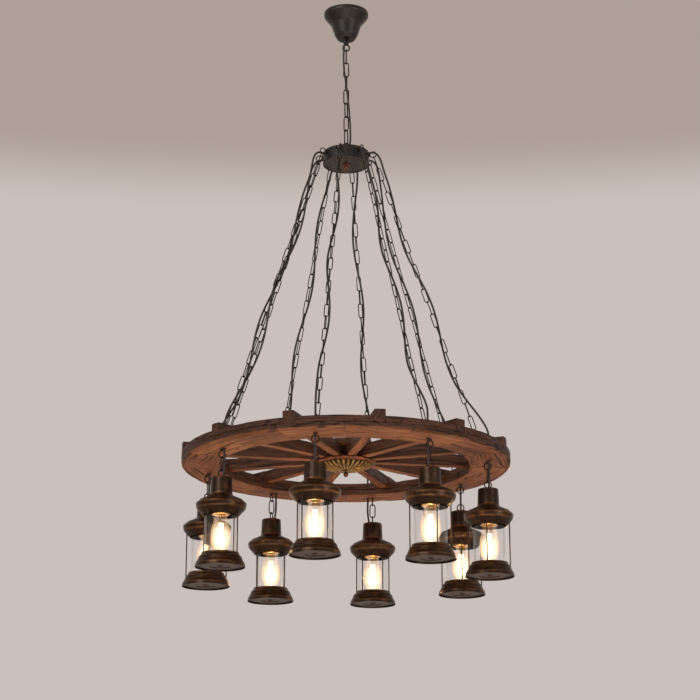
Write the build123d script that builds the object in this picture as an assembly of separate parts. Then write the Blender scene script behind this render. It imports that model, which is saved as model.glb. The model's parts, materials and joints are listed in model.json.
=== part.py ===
from build123d import *
import math
import os

# A chained wooden cartwheel that carries eight hanging lanterns.
# The frame's origin is the middle of the ceiling face, +Z is up and lengths are millimetres.
# An azimuth is measured from -Y towards +X, in degrees.

# ---- driving dimensions: heights below the ceiling ----
CANOPY_FLOOR = -74.0
CANOPY_RING_Z = -98.0
HUB_TOP = -391.0
HUB_BOTTOM = -425.3
WHEEL_BOTTOM = -1220.0

# ---- driving dimensions: the wooden wheel ----
WHEEL_RADIUS = 400.0
WHEEL_INNER_RADIUS = 302.0
PLY = 15.0
FELLOE_COUNT = 16
FELLOE_JOINT_AZIMUTH = 22.0
SPOKE_COUNT = 12
SPOKE_FIRST_AZIMUTH = 11.0
SPOKE_WIDTH = 23.0
SPOKE_HEAD_WIDTH = 28.0
SPOKE_HEIGHT = 30.0
SPOKE_ROOT_RADIUS = 48.0
EDGE_ROUND = 8.0
BLOCK_TOP_RADIUS = 76.0
BLOCK_TOP_THICKNESS = 14.0
FINIAL_ROD_RADIUS = 3.0

# ---- driving dimensions: chains, rings and eyes ----
LINK_GAP = 0.3
DROP_LINKS = 7
DROP_LINK_INSIDE = 38.0
DROP_LINK_WIDTH = 16.0
DROP_WIRE = 3.3
LOOP_RADIUS = 10.5
LOOP_WIRE = 4.0
COLLAR_RADIUS = 6.5
SHANK_RADIUS = 5.0
SHANK_BORE_RADIUS = 3.0
SIDE_LINKS = 23
SIDE_LINK_WIDTH = 12.5
SIDE_WIRE = 2.6
EYE_RADIUS = 9.5
EYE_WIRE = 2.8
EYE_SHANK_RADIUS = 2.0
EYE_SHANK_DEPTH = 20.0
HUB_EYE_RADIAL = 70.0
HUB_EYE_Z = -403.0
RIM_EYE_RADIAL = 330.0
RIM_EYE_STAND = 11.5

# ---- driving dimensions: canopy and hub shells ----
SHEET = 1.2
CANOPY_RADIUS = 57.5
HUB_RADIUS = 59.0
BRACKET_LENGTH = 100.0
BRACKET_WIDTH = 22.0
BRACKET_THICKNESS = 2.5
BOLT_SPACING = 80.0
BOLT_HOLE_RADIUS = 2.5
TURN_CLEARANCE = 0.1

# ---- driving dimensions: cords ----
CORD_RADIUS = 2.5
CORD_HOLE_RADIUS = 3.0
CORD_WRAP_RADIUS = 10.6
CORD_WRAP_STEP = 45.0
CORD_WRAP_POINTS = 14
CORD_SIDE_OFFSET = 11.5

# ---- driving dimensions: the lanterns, heights measured from the wheel's underside ----
LANTERN_RADIAL = 346.9
SCREW_EYE_RADIUS = 10.0
SCREW_EYE_WIRE = 3.0
SCREW_EYE_Z = -12.0
LINK_LENGTH = 38.0
LINK_WIDTH = 16.0
LINK_WIRE = 3.0
BODY_GAP = 0.3
CAP_TOP = -67.4
SHADE_OUTLINE = [
    (24.3, -67.4), (26.0, -110.0), (48.0, -121.5), (59.5, -130.0), (57.0, -142.0), (42.0, -158.0),
]
SHADE_ROUNDS = [3.0, 7.0, 14.0, 4.0, 7.0]
BASE_OUTLINE = [
    (43.6, -246.0), (43.6, -250.5), (51.0, -257.0), (51.5, -264.0), (58.4, -273.0), (58.4, -278.6),
]
BASE_ROUNDS = [2.0, 3.0, 4.0, 4.0]
GLASS_RADIUS = 38.0
GLASS_WALL = 2.0
GLASS_TOP = -140.0
GLASS_SEAT = -252.0
GUARD_RADIUS = 49.0
GUARD_WIRE = 3.0
SOCKET_RADIUS = 20.0
LAMP_BASE_RADIUS = 13.0
LAMP_RADIUS = 23.0
LAMP_BOTTOM = -243.0

# lantern azimuth, azimuth of the side where its cord hangs, azimuth of its first guard wire
ARMS = [
    (-11.5, 0.0, -35.0),
    (33.5, -20.0, -75.0),
    (78.5, 10.0, -10.0),
    (123.5, 0.0, -2.0),
    (168.5, -90.0, -33.0),
    (213.5, 70.0, -44.0),
    (258.5, 20.0, -80.0),
    (303.5, 30.0, -35.0),
]

# ---- sizes worked out from the driving dimensions ----
WHEEL_TOP = WHEEL_BOTTOM + 2 * PLY
SPOKE_BOTTOM = WHEEL_BOTTOM + PLY
SPOKE_TOP = SPOKE_BOTTOM + SPOKE_HEIGHT
RIM_EYE_Z = WHEEL_TOP + RIM_EYE_STAND
DROP_REACH = LOOP_RADIUS - LOOP_WIRE - DROP_WIRE / 2 - BODY_GAP
DROP_PITCH = DROP_LINK_INSIDE - LINK_GAP
DROP_TOP_Z = CANOPY_RING_Z - DROP_REACH
DROP_END_Z = DROP_TOP_Z - (DROP_LINKS - 1) * DROP_PITCH - DROP_LINK_INSIDE - DROP_WIRE
HUB_RING_Z = DROP_END_Z - DROP_REACH
SIDE_REACH = EYE_RADIUS - EYE_WIRE - SIDE_WIRE / 2 - LINK_GAP
CHAIN_RUN = math.hypot(RIM_EYE_RADIAL - HUB_EYE_RADIAL, HUB_EYE_Z - RIM_EYE_Z)
CHAIN_OUT = (RIM_EYE_RADIAL - HUB_EYE_RADIAL) / CHAIN_RUN
CHAIN_DOWN = (HUB_EYE_Z - RIM_EYE_Z) / CHAIN_RUN
SIDE_SPAN = CHAIN_RUN - 2 * SIDE_REACH
SIDE_LINK_INSIDE = (SIDE_SPAN - SIDE_WIRE + (SIDE_LINKS - 1) * LINK_GAP) / SIDE_LINKS
SIDE_PITCH = SIDE_LINK_INSIDE - LINK_GAP
LINK_TOP_Z = SCREW_EYE_Z - SCREW_EYE_RADIUS + SCREW_EYE_WIRE + LINK_WIRE / 2 + BODY_GAP
LINK_END_Z = LINK_TOP_Z - LINK_LENGTH + LINK_WIRE
CAP_RING_TOP_Z = LINK_END_Z + LINK_WIRE + BODY_GAP
CAP_RING_Z = CAP_RING_TOP_Z - SCREW_EYE_RADIUS + SCREW_EYE_WIRE / 2


def place(shape, azimuth, radial=0.0, height=0.0):
    """Put a shape made along +X at an azimuth, a radius and a height."""
    return Rot(0, 0, azimuth - 90) * Pos(radial, 0, height) * shape


def upright_ring(outer_radius, wire, facing):
    """A wire ring that stands upright, with its hole facing along X or along Y."""
    ring = Torus(outer_radius - wire / 2, wire / 2)
    return Rot(0, 90, 0) * ring if facing == "x" else Rot(90, 0, 0) * ring


def chain_link(inside, width, wire):
    """One long link, lying flat with its length along X and its middle at the origin."""
    bend = (width - wire) / 2
    straight = inside + wire - 2 * bend
    end = Rot(0, 0, -90) * Torus(bend, wire / 2, major_angle=180, align=None)
    leg = Rot(0, 90, 0) * Cylinder(wire / 2, straight)
    link = Pos(straight / 2, 0, 0) * end
    link += Pos(-straight / 2, 0, 0) * Rot(0, 0, 180) * end
    link += Pos(0, bend, 0) * leg
    link += Pos(0, -bend, 0) * leg
    return link


def lay_chain(link, start, direction, normals, count, pitch, first):
    """Copies of a link along a line, turned about it by taking the two normals in turn."""
    laid = []
    for k in range(count):
        middle = start + direction * (first + k * pitch)
        laid.append(Plane(origin=middle, x_dir=direction, z_dir=normals[k % 2]).location * link)
    return laid


def inset(points, wall):
    """The outline moved sideways by the wall, on its right as it is followed."""
    moved = []
    normals = []
    for a, b in zip(points, points[1:]):
        run = math.hypot(b[0] - a[0], b[1] - a[1])
        normals.append(((b[1] - a[1]) / run, (a[0] - b[0]) / run))
    for i, point in enumerate(points):
        before = normals[max(i - 1, 0)]
        after = normals[min(i, len(normals) - 1)]
        scale = wall / (1 + before[0] * after[0] + before[1] * after[1])
        moved.append((point[0] + (before[0] + after[0]) * scale, point[1] + (before[1] + after[1]) * scale))
    return moved


def side_of_turn(a, b, c):
    """+1 where the outline turns left at b, -1 where it turns right."""
    cross = (b[0] - a[0]) * (c[1] - b[1]) - (b[1] - a[1]) * (c[0] - b[0])
    return 1 if cross > 0 else -1


def spun_shell(outline, rounds, wall=SHEET):
    """A sheet-metal shell: an outline of (radius, height) points, thickened inwards and spun."""
    inner = inset(outline, wall)
    inner_rounds = []
    for i, size in enumerate(rounds):
        turn = side_of_turn(outline[i], outline[i + 1], outline[i + 2])
        inner_rounds.append(max(size + turn * wall, 0.3))
    outer_points = [(r, 0, z) for r, z in outline]
    inner_points = [(r, 0, z) for r, z in inner]
    outer_line = FilletPolyline(*outer_points, radius=rounds)
    inner_line = FilletPolyline(*inner_points, radius=inner_rounds)
    ends = [Line(outer_points[0], inner_points[0]), Line(outer_points[-1], inner_points[-1])]
    face = make_face([*outer_line.edges(), *inner_line.edges(), *ends])
    return revolve(face, Axis.Z)


def spun_solid(outline, rounds):
    """A turned solid: (radius, height) points from the axis and back to it."""
    points = [(r, 0, z) for r, z in outline]
    line = FilletPolyline(*points, radius=rounds)
    face = make_face([*line.edges(), Line(points[-1], points[0])])
    return revolve(face, Axis.Z)


def tube(outer_radius, inner_radius, bottom, top):
    """A round tube or washer between two heights."""
    middle = (bottom + top) / 2
    return Pos(0, 0, middle) * (Cylinder(outer_radius, top - bottom) - Cylinder(inner_radius, top - bottom))


def rod(radius, bottom, top):
    """A round rod between two heights."""
    return Pos(0, 0, (bottom + top) / 2) * Cylinder(radius, top - bottom)


def hex_nut(across, bore_radius, bottom, top):
    """A plain hexagon nut between two heights."""
    blank = extrude(RegularPolygon(across / 2, 6, major_radius=False), top - bottom)
    return Pos(0, 0, bottom) * blank - rod(bore_radius, bottom, top)


def cord(name, points):
    """A round cord along straight runs joined by the widest tangent arcs that fit."""
    radii = []
    for a, b, c in zip(points, points[1:], points[2:]):
        turn = math.radians((b - a).get_angle(c - b))
        shorter = min((b - a).length, (c - b).length)
        radii.append(0.45 * shorter / math.tan(turn / 2))
    path = FilletPolyline(*points, radius=radii)
    section = Plane(origin=points[0], z_dir=points[1] - points[0]) * Circle(CORD_RADIUS)
    solid = sweep(section, path=path)
    share = solid.volume / (math.pi * CORD_RADIUS**2 * path.length)
    print(f"{name}: length {path.length:.0f}, tightest bend {min(radii):.1f}, volume ratio {share:.4f}")
    return solid


def lantern_centre(azimuth):
    """Where a lantern hangs, seen from above."""
    angle = math.radians(azimuth)
    return Vector(LANTERN_RADIAL * math.sin(angle), -LANTERN_RADIAL * math.cos(angle), 0)


def cord_hole(azimuth, cord_side):
    """Where a lantern's cord passes down through the wheel."""
    angle = math.radians(cord_side)
    return lantern_centre(azimuth) + Vector(math.sin(angle), -math.cos(angle), 0) * CORD_SIDE_OFFSET


# ---- ceiling fitting ----
def make_ceiling_bracket():
    """A strap screwed to the ceiling, with a threaded boss that carries everything."""
    strap = Pos(0, 0, -BRACKET_THICKNESS / 2) * Box(BRACKET_LENGTH, BRACKET_WIDTH, BRACKET_THICKNESS)
    strap = fillet(strap.edges().filter_by(Axis.Z), BRACKET_WIDTH / 2 - 1)
    strap += rod(SHANK_RADIUS + 3, -10, -BRACKET_THICKNESS)
    strap -= rod(SHANK_RADIUS, -10, 0)
    for x in (-BOLT_SPACING / 2, BOLT_SPACING / 2):
        strap -= Pos(x, 0, 0) * rod(BOLT_HOLE_RADIUS, -BRACKET_THICKNESS, 0)
    return strap


def make_canopy_shell():
    """The spun cup that hides the bracket, open against the ceiling."""
    outline = [(CANOPY_RADIUS, 0), (CANOPY_RADIUS, -9), (39.5, -32), (29, -64), (22, CANOPY_FLOOR)]
    outline.append((SHANK_RADIUS + 0.2, CANOPY_FLOOR))
    return spun_shell(outline, [6, 14, 12, 3])


def make_loop(ring_z, collar_end, shank_end, up):
    """A ring with a collar and a hollow threaded shank, which lets the cord through."""
    shank_low, shank_high = sorted((collar_end, shank_end))
    collar_low, collar_high = sorted((collar_end, ring_z + up * (LOOP_RADIUS - 1.0)))
    loop = rod(COLLAR_RADIUS, collar_low, collar_high)
    loop += rod(SHANK_RADIUS, shank_low, shank_high)
    if up > 0:
        loop -= rod(SHANK_BORE_RADIUS, collar_low + 2.5, shank_high)
    else:
        loop -= rod(SHANK_BORE_RADIUS, shank_low, collar_high - 2.5)
    loop += Pos(0, 0, ring_z) * upright_ring(LOOP_RADIUS, LOOP_WIRE, "y")
    return loop


def make_terminal_block():
    """The mains terminal block that hangs under the strap."""
    body = Pos(-22, 0, -BRACKET_THICKNESS - 6) * Box(22, 15, 12)
    body = fillet(body.edges().filter_by(Axis.Z), 1.5)
    for y in (-4.5, 0, 4.5):
        body -= Pos(-22, y, -BRACKET_THICKNESS - 7) * Rot(0, 90, 0) * Cylinder(1.4, 22)
    return body


# ---- the drop from the ceiling ----
def make_drop_chain():
    """The main chain, hooked link by link between the two loops."""
    link = chain_link(DROP_LINK_INSIDE, DROP_LINK_WIDTH, DROP_WIRE)
    start = Vector(0, 0, DROP_TOP_Z)
    first = (DROP_LINK_INSIDE + DROP_WIRE) / 2
    normals = [Vector(1, 0, 0), Vector(0, 1, 0)]
    return lay_chain(link, start, Vector(0, 0, -1), normals, DROP_LINKS, DROP_PITCH, first)


def make_feed_cord():
    """The mains cord, from beside the canopy's collar down the chain to the hub's collar."""
    route = [
        Vector(-4, -10, -83),
        Vector(-5, -12, -98),
        Vector(-7, -12.3, -124),
        Vector(-6, -12.8, -163),
        Vector(0, -13.4, -207),
        Vector(5, -13, -252),
        Vector(9, -12, -296),
        Vector(11, -11, -334),
        Vector(11, -9.5, -362),
        Vector(8.5, -7.5, -382.5),
    ]
    return cord("feed_cord", route)


# ---- hub under the drop ----
def make_hub_shell():
    """The hub's spun canister, open below, drilled for the eyes and the cords."""
    outline = [(SHANK_RADIUS + TURN_CLEARANCE, HUB_TOP), (HUB_RADIUS, HUB_TOP), (HUB_RADIUS, HUB_BOTTOM)]
    shell = spun_shell(outline, [5])
    for azimuth, _, _ in ARMS:
        wall = Rot(0, 90, 0) * Cylinder(EYE_SHANK_RADIUS, 8)
        shell -= place(wall, azimuth, HUB_RADIUS, HUB_EYE_Z)
        hole = Rot(0, 90, 0) * Cylinder(CORD_HOLE_RADIUS, 8)
        shell -= Rot(0, 0, azimuth - 90) * Pos(HUB_RADIUS, -12, HUB_EYE_Z) * hole
    return shell


def make_hub_plate():
    """The disc that closes the hub from below."""
    return tube(HUB_RADIUS - SHEET, 4.8, HUB_BOTTOM + 0.8, HUB_BOTTOM + 0.8 + SHEET)


def make_hub_finial():
    """The turned nut and stud that hold the hub's plate."""
    outline = [(0, HUB_BOTTOM - 11), (4.5, HUB_BOTTOM - 11), (6, HUB_BOTTOM - 5), (4, HUB_BOTTOM - 2.5)]
    outline += [(9, HUB_BOTTOM - 1.5), (9, HUB_BOTTOM + 0.8), (4, HUB_BOTTOM + 0.8), (4, HUB_BOTTOM + 8)]
    outline.append((0, HUB_BOTTOM + 8))
    return spun_solid(outline, [2, 2, 0.8, 0.8, 0.5, 0.5, 0.8])


def make_hub_eyes():
    """Screw eyes around the hub, each with a nut inside the wall."""
    ring = upright_ring(EYE_RADIUS, EYE_WIRE, "y")
    shank_length = 14.0
    shank_middle = -EYE_RADIUS + EYE_WIRE / 2 - shank_length / 2
    eye = ring + Pos(shank_middle, 0, 0) * Rot(0, 90, 0) * Cylinder(EYE_SHANK_RADIUS, shank_length)
    wall_inside = HUB_RADIUS - SHEET - BODY_GAP - HUB_EYE_RADIAL
    nut = Pos(wall_inside, 0, 0) * Rot(0, -90, 0) * hex_nut(7, EYE_SHANK_RADIUS, 0, 3)
    return [place(shape, arm[0], HUB_EYE_RADIAL, HUB_EYE_Z) for arm in ARMS for shape in (eye, nut)]


# ---- side chains and their cords ----
def arm_axes(azimuth):
    """Unit vectors of one arm: outwards, sideways, down its chain, and square to the chain."""
    angle = math.radians(azimuth)
    outwards = Vector(math.sin(angle), -math.cos(angle), 0)
    sideways = Vector(math.cos(angle), math.sin(angle), 0)
    down = outwards * CHAIN_OUT - Vector(0, 0, CHAIN_DOWN)
    square = outwards * CHAIN_DOWN + Vector(0, 0, CHAIN_OUT)
    return outwards, sideways, down, square


def make_side_chains():
    """The eight chains that carry the wheel."""
    link = chain_link(SIDE_LINK_INSIDE, SIDE_LINK_WIDTH, SIDE_WIRE)
    first = SIDE_REACH + (SIDE_LINK_INSIDE + SIDE_WIRE) / 2
    links = []
    for azimuth, _, _ in ARMS:
        outwards, sideways, down, square = arm_axes(azimuth)
        start = outwards * HUB_EYE_RADIAL + Vector(0, 0, HUB_EYE_Z)
        links += lay_chain(link, start, down, [square, sideways], SIDE_LINKS, SIDE_PITCH, first)
    return links


def arm_route(azimuth, cord_side):
    """A lantern cord's route: out of the hub, wound down the chain, and through the wheel."""
    outwards, sideways, down, square = arm_axes(azimuth)

    def point(radial, aside, height):
        return outwards * radial + sideways * aside + Vector(0, 0, height)

    route = [point(60, -12, HUB_EYE_Z), point(72, -12.5, -401.5), point(84, -12.3, -408)]
    route += [point(92.5, -11.3, -425), point(99, -8.5, -452), point(109.5, -1.5, -486)]
    for k in range(CORD_WRAP_POINTS):
        turn = math.radians(30 + k * CORD_WRAP_STEP)
        along = 128 + 42.0 * k
        axis = outwards * HUB_EYE_RADIAL + Vector(0, 0, HUB_EYE_Z) + down * along
        route.append(axis + (square * math.cos(turn) + sideways * math.sin(turn)) * CORD_WRAP_RADIUS)
    hole = cord_hole(azimuth, cord_side)
    away = (hole - lantern_centre(azimuth)).normalized()
    for height, shift in ((-1139, 2.5), (-1172, 0.5), (-1221, 0.0), (-1246, 1.2), (-1262, 0.8)):
        route.append(hole + away * shift + Vector(0, 0, height))
    route.append(hole - away * 1.5 + Vector(0, 0, WHEEL_BOTTOM + CAP_TOP + 5))
    return route


def make_lantern_cords():
    """The eight cords that feed the lanterns."""
    return [cord(f"lantern cord {i + 1}", arm_route(arm[0], arm[1])) for i, arm in enumerate(ARMS)]


# ---- the wooden wheel ----
def ring_slice(inner_radius, outer_radius, bottom, top, start, sweep_angle):
    """A felloe: a slice of a flat ring between two azimuths."""
    ring = tube(outer_radius, inner_radius, bottom, top)
    reach = outer_radius * 1.3
    wedge_face = make_face(Polyline(
        (0, 0), (reach, 0), (reach, reach * math.tan(math.radians(sweep_angle))), close=True
    ))
    wedge = Pos(0, 0, bottom) * extrude(wedge_face, top - bottom)
    return ring & (Rot(0, 0, start - 90) * wedge)


def drill_wheel(pieces, bottom, top):
    """Drill the cord holes and the eye shanks' holes through a ply's pieces."""
    holes = []
    for azimuth, cord_side, _ in ARMS:
        hole = cord_hole(azimuth, cord_side)
        holes.append(Pos(hole.X, hole.Y, 0) * rod(CORD_HOLE_RADIUS, bottom - 1, top + 1))
        low = rod(EYE_SHANK_RADIUS, WHEEL_BOTTOM - 1, WHEEL_BOTTOM + EYE_SHANK_DEPTH)
        holes.append(place(low, azimuth, LANTERN_RADIAL))
        high = rod(EYE_SHANK_RADIUS, WHEEL_TOP - EYE_SHANK_DEPTH, WHEEL_TOP + 1)
        holes.append(place(high, azimuth, RIM_EYE_RADIAL))
    drilled = []
    for piece in pieces:
        box = piece.bounding_box()
        for hole in holes:
            middle = hole.center()
            if box.min.X < middle.X < box.max.X and box.min.Y < middle.Y < box.max.Y:
                piece -= hole
        drilled.append(piece)
    return drilled


def make_rim_lower_ply():
    """The lower felloes, butted end to end, with a rounded outer bottom edge."""
    span = 360 / FELLOE_COUNT
    felloes = []
    for k in range(FELLOE_COUNT):
        start = FELLOE_JOINT_AZIMUTH + k * span
        felloe = ring_slice(WHEEL_INNER_RADIUS, WHEEL_RADIUS, WHEEL_BOTTOM, SPOKE_BOTTOM, start, span)
        rim_edges = felloe.edges().filter_by(GeomType.CIRCLE)
        outer_low = rim_edges.sort_by(Axis.Z)[:2].sort_by(SortBy.LENGTH)[-1]
        felloes.append(fillet(outer_low, EDGE_ROUND))
    return drill_wheel(felloes, WHEEL_BOTTOM, SPOKE_BOTTOM)


def make_rim_upper_ply():
    """The upper felloes, one between each two spokes, cut back for the spokes' heads."""
    span = 360 / SPOKE_COUNT
    felloes = []
    for k in range(SPOKE_COUNT):
        start = SPOKE_FIRST_AZIMUTH + k * span
        felloe = ring_slice(WHEEL_INNER_RADIUS, WHEEL_RADIUS, SPOKE_BOTTOM, WHEEL_TOP, start, span)
        for side in (start, start + span):
            head = Box(WHEEL_RADIUS, SPOKE_HEAD_WIDTH, PLY * 2)
            felloe -= place(head, side, WHEEL_RADIUS, SPOKE_BOTTOM + PLY / 2)
        felloes.append(felloe)
    return drill_wheel(felloes, SPOKE_BOTTOM, WHEEL_TOP)


def make_spokes():
    """Twelve square spokes, with wider heads that are let into the rim."""
    middle_z = SPOKE_BOTTOM + SPOKE_HEIGHT / 2
    bar_length = WHEEL_RADIUS - SPOKE_ROOT_RADIUS
    bar = Pos(SPOKE_ROOT_RADIUS + bar_length / 2, 0, middle_z) * Box(bar_length, SPOKE_WIDTH, SPOKE_HEIGHT)
    head_length = WHEEL_RADIUS - WHEEL_INNER_RADIUS
    head_middle = WHEEL_INNER_RADIUS + head_length / 2
    head = Pos(head_middle, 0, middle_z) * Box(head_length, SPOKE_HEAD_WIDTH, SPOKE_HEIGHT)
    spoke = (bar + head) & rod(WHEEL_RADIUS, SPOKE_BOTTOM, SPOKE_TOP)
    step = 360 / SPOKE_COUNT
    return [place(spoke, SPOKE_FIRST_AZIMUTH + k * step) for k in range(SPOKE_COUNT)]


def make_centre_block():
    """The hub block that the spokes butt against, with a twelve-sided plate on top."""
    core = rod(SPOKE_ROOT_RADIUS - 0.6, SPOKE_BOTTOM, SPOKE_TOP)
    plate = extrude(RegularPolygon(BLOCK_TOP_RADIUS, SPOKE_COUNT), BLOCK_TOP_THICKNESS)
    plate = fillet(plate.faces().sort_by(Axis.Z)[-1].edges(), 3)
    block = core + Pos(0, 0, SPOKE_TOP) * Rot(0, 0, SPOKE_FIRST_AZIMUTH) * plate
    return block - rod(FINIAL_ROD_RADIUS, SPOKE_BOTTOM, SPOKE_TOP + BLOCK_TOP_THICKNESS)


def make_rosette():
    """The brim and the domed rose under the wheel's middle, as two pressings."""
    brim = spun_shell([(73.5, SPOKE_BOTTOM), (73.5, SPOKE_BOTTOM - 5), (60, SPOKE_BOTTOM - 5)], [3], 1.6)
    dome_outline = [(64, SPOKE_BOTTOM - 6.0), (52, SPOKE_BOTTOM - 15), (24, SPOKE_BOTTOM - 21.5)]
    dome_outline.append((FINIAL_ROD_RADIUS + 0.1, SPOKE_BOTTOM - 22))
    dome = spun_shell(dome_outline, [16, 30])
    return [brim, dome]


def make_rosette_finial():
    """The ball finial on its rod, with a cap nut above the block."""
    ball_z = SPOKE_BOTTOM - 31.0
    block_top = SPOKE_TOP + BLOCK_TOP_THICKNESS
    finial = Pos(0, 0, ball_z) * Sphere(6.25)
    finial += rod(FINIAL_ROD_RADIUS, ball_z, block_top + 8)
    finial += rod(7.0, SPOKE_BOTTOM - 24.2, SPOKE_BOTTOM - 22)
    return [finial, hex_nut(13, FINIAL_ROD_RADIUS, block_top, block_top + 5)]


def make_rim_eyes():
    """Screw eyes in the top of the rim, one for each chain."""
    shank_top = -EYE_RADIUS + EYE_WIRE / 2
    shank = rod(EYE_SHANK_RADIUS, -RIM_EYE_STAND - EYE_SHANK_DEPTH, shank_top)
    eye = upright_ring(EYE_RADIUS, EYE_WIRE, "y") + shank
    eye += rod(EYE_SHANK_RADIUS + 3, -RIM_EYE_STAND, -RIM_EYE_STAND + 1.5)
    return [place(eye, arm[0], RIM_EYE_RADIAL, RIM_EYE_Z) for arm in ARMS]


def make_lantern_eyes():
    """Screw eyes under the rim, one for each lantern, with a round plate at the wood."""
    shank = rod(EYE_SHANK_RADIUS, SCREW_EYE_RADIUS - SCREW_EYE_WIRE / 2, EYE_SHANK_DEPTH - SCREW_EYE_Z)
    eye = upright_ring(SCREW_EYE_RADIUS, SCREW_EYE_WIRE, "x") + shank
    eye += rod(EYE_SHANK_RADIUS + 4, -SCREW_EYE_Z - 1.5, -SCREW_EYE_Z)
    eyes = []
    for azimuth, cord_side, _ in ARMS:
        centre = lantern_centre(azimuth)
        eyes.append(Pos(centre.X, centre.Y, WHEEL_BOTTOM + SCREW_EYE_Z) * Rot(0, 0, cord_side - 90) * eye)
    return eyes


# ---- one lantern, about its own axis, with its cord on the +X side ----
def make_link():
    """The long link between the screw eye and the lantern's ring."""
    link = chain_link(LINK_LENGTH - 2 * LINK_WIRE, LINK_WIDTH, LINK_WIRE)
    middle = (LINK_TOP_Z + LINK_END_Z) / 2
    return Plane(origin=(0, 0, middle), x_dir=(0, 0, -1), z_dir=(0, 1, 0)).location * link


def make_shade():
    """The spun cap and shoulder, and the ring whose stem is nutted through the cap."""
    shell = spun_shell([(SHANK_RADIUS - 1, CAP_TOP), *SHADE_OUTLINE], SHADE_ROUNDS)
    ring = Pos(0, 0, CAP_RING_Z) * upright_ring(SCREW_EYE_RADIUS, SCREW_EYE_WIRE, "x")
    ring += rod(SHANK_RADIUS - 1, CAP_TOP - 14, CAP_RING_Z - SCREW_EYE_RADIUS + 1)
    nut = hex_nut(13, SHANK_RADIUS - 1, CAP_TOP - SHEET - 4, CAP_TOP - SHEET)
    return [shell, ring, nut]


def make_glass():
    """The clear glass chimney."""
    return tube(GLASS_RADIUS, GLASS_RADIUS - GLASS_WALL, GLASS_SEAT, GLASS_TOP)


def make_cage(shade, first_wire):
    """The flared base with its bottom disc, and the four guard wires that carry it."""
    bell = spun_shell(BASE_OUTLINE, BASE_ROUNDS)
    seat = rod(BASE_OUTLINE[0][0] - SHEET, GLASS_SEAT - SHEET, GLASS_SEAT) & rod(42.0, GLASS_SEAT - 5, 0)
    bell += seat
    disc = rod(BASE_OUTLINE[-1][0] - SHEET, BASE_OUTLINE[-1][1] + 2, BASE_OUTLINE[-1][1] + 2 + SHEET)
    wires = []
    for k in range(4):
        straight = rod(GUARD_WIRE / 2, -262.0, -146.0)
        wire = Rot(0, 0, first_wire + 90 * k - 90) * Pos(GUARD_RADIUS, 0, 0) * straight
        pieces = (wire - bell - shade).solids()
        wires.append(pieces.sort_by(SortBy.VOLUME)[-1])
    return [bell, disc, *wires]


def make_lamp():
    """The lampholder, hung from the ring's stem, and the filament lamp in it."""
    holder_top = CAP_TOP - 14
    outline = [(0, holder_top), (14, holder_top), (14, -96), (SOCKET_RADIUS, -102), (SOCKET_RADIUS, -156)]
    outline += [(LAMP_BASE_RADIUS + 0.2, -156), (LAMP_BASE_RADIUS + 0.2, -128), (0, -128)]
    holder = spun_solid(outline, [2, 2, 3, 1, 0.5, 0.5])
    lamp_outline = [(0, -129), (LAMP_BASE_RADIUS, -129), (LAMP_BASE_RADIUS, -158), (LAMP_RADIUS, -190)]
    lamp_outline += [(LAMP_RADIUS, -224), (12, LAMP_BOTTOM), (0, LAMP_BOTTOM)]
    lamp = spun_solid(lamp_outline, [1, 14, 30, 20, 12])
    return [holder, lamp]


def save(name, solids):
    """Write one node's solids as parts/NODE.step."""
    pieces = []
    for shape in solids if isinstance(solids, list) else [solids]:
        pieces += shape.solids()
    export_step(Compound(pieces), f"parts/{name}.step")


def main():
    """Make every node of the chandelier."""
    os.makedirs("parts", exist_ok=True)

    save("ceiling_bracket", make_ceiling_bracket())
    save("canopy_shell", make_canopy_shell())
    save("canopy_loop", make_loop(CANOPY_RING_Z, CANOPY_FLOOR, -1.0, 1))
    save("terminal_block", make_terminal_block())

    save("drop_chain", make_drop_chain())
    save("feed_cord", make_feed_cord())
    hub_loop = make_loop(HUB_RING_Z, HUB_TOP + BODY_GAP, HUB_TOP - 12, -1)
    nut_top = HUB_TOP - SHEET - BODY_GAP
    save("hub_loop", [hub_loop, hex_nut(17, SHANK_RADIUS, nut_top - 5, nut_top)])

    save("hub_shell", make_hub_shell())
    save("hub_plate", make_hub_plate())
    save("hub_finial", make_hub_finial())
    save("hub_eyes", make_hub_eyes())
    save("side_chains", make_side_chains())
    save("lantern_cords", make_lantern_cords())

    save("rim_lower_ply", make_rim_lower_ply())
    save("rim_upper_ply", make_rim_upper_ply())
    save("spokes", make_spokes())
    save("centre_block", make_centre_block())
    save("rosette", make_rosette())
    save("rosette_finial", make_rosette_finial())
    save("wheel_eyes", make_rim_eyes() + make_lantern_eyes())

    link = make_link()
    shade = make_shade()
    glass = make_glass()
    lamp = make_lamp()
    for number, (azimuth, cord_side, first_wire) in enumerate(ARMS, start=1):
        centre = lantern_centre(azimuth)
        stand = Pos(centre.X, centre.Y, WHEEL_BOTTOM)
        turned = stand * Rot(0, 0, cord_side - 90)
        save(f"lantern_{number}_link", turned * link)
        save(f"lantern_{number}_shade", [turned * piece for piece in shade])
        save(f"lantern_{number}_glass", turned * glass)
        save(f"lantern_{number}_cage", [stand * piece for piece in make_cage(shade[0], first_wire)])
        save(f"lantern_{number}_lamp", [turned * piece for piece in lamp])


main()
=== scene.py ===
"""A chained wooden cartwheel with eight hanging lanterns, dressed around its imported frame.

Sizes are in millimetres until a mesh is made. The origin is the middle of the ceiling face and +Z is up.
An azimuth is measured from -Y towards +X, in degrees.
"""
import json
import logging
import math
from dataclasses import dataclass, field
from enum import Enum
from typing import Any, Callable, Iterable, Sequence

import bmesh
import bpy
from mathutils import Matrix, Vector, noise

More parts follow.
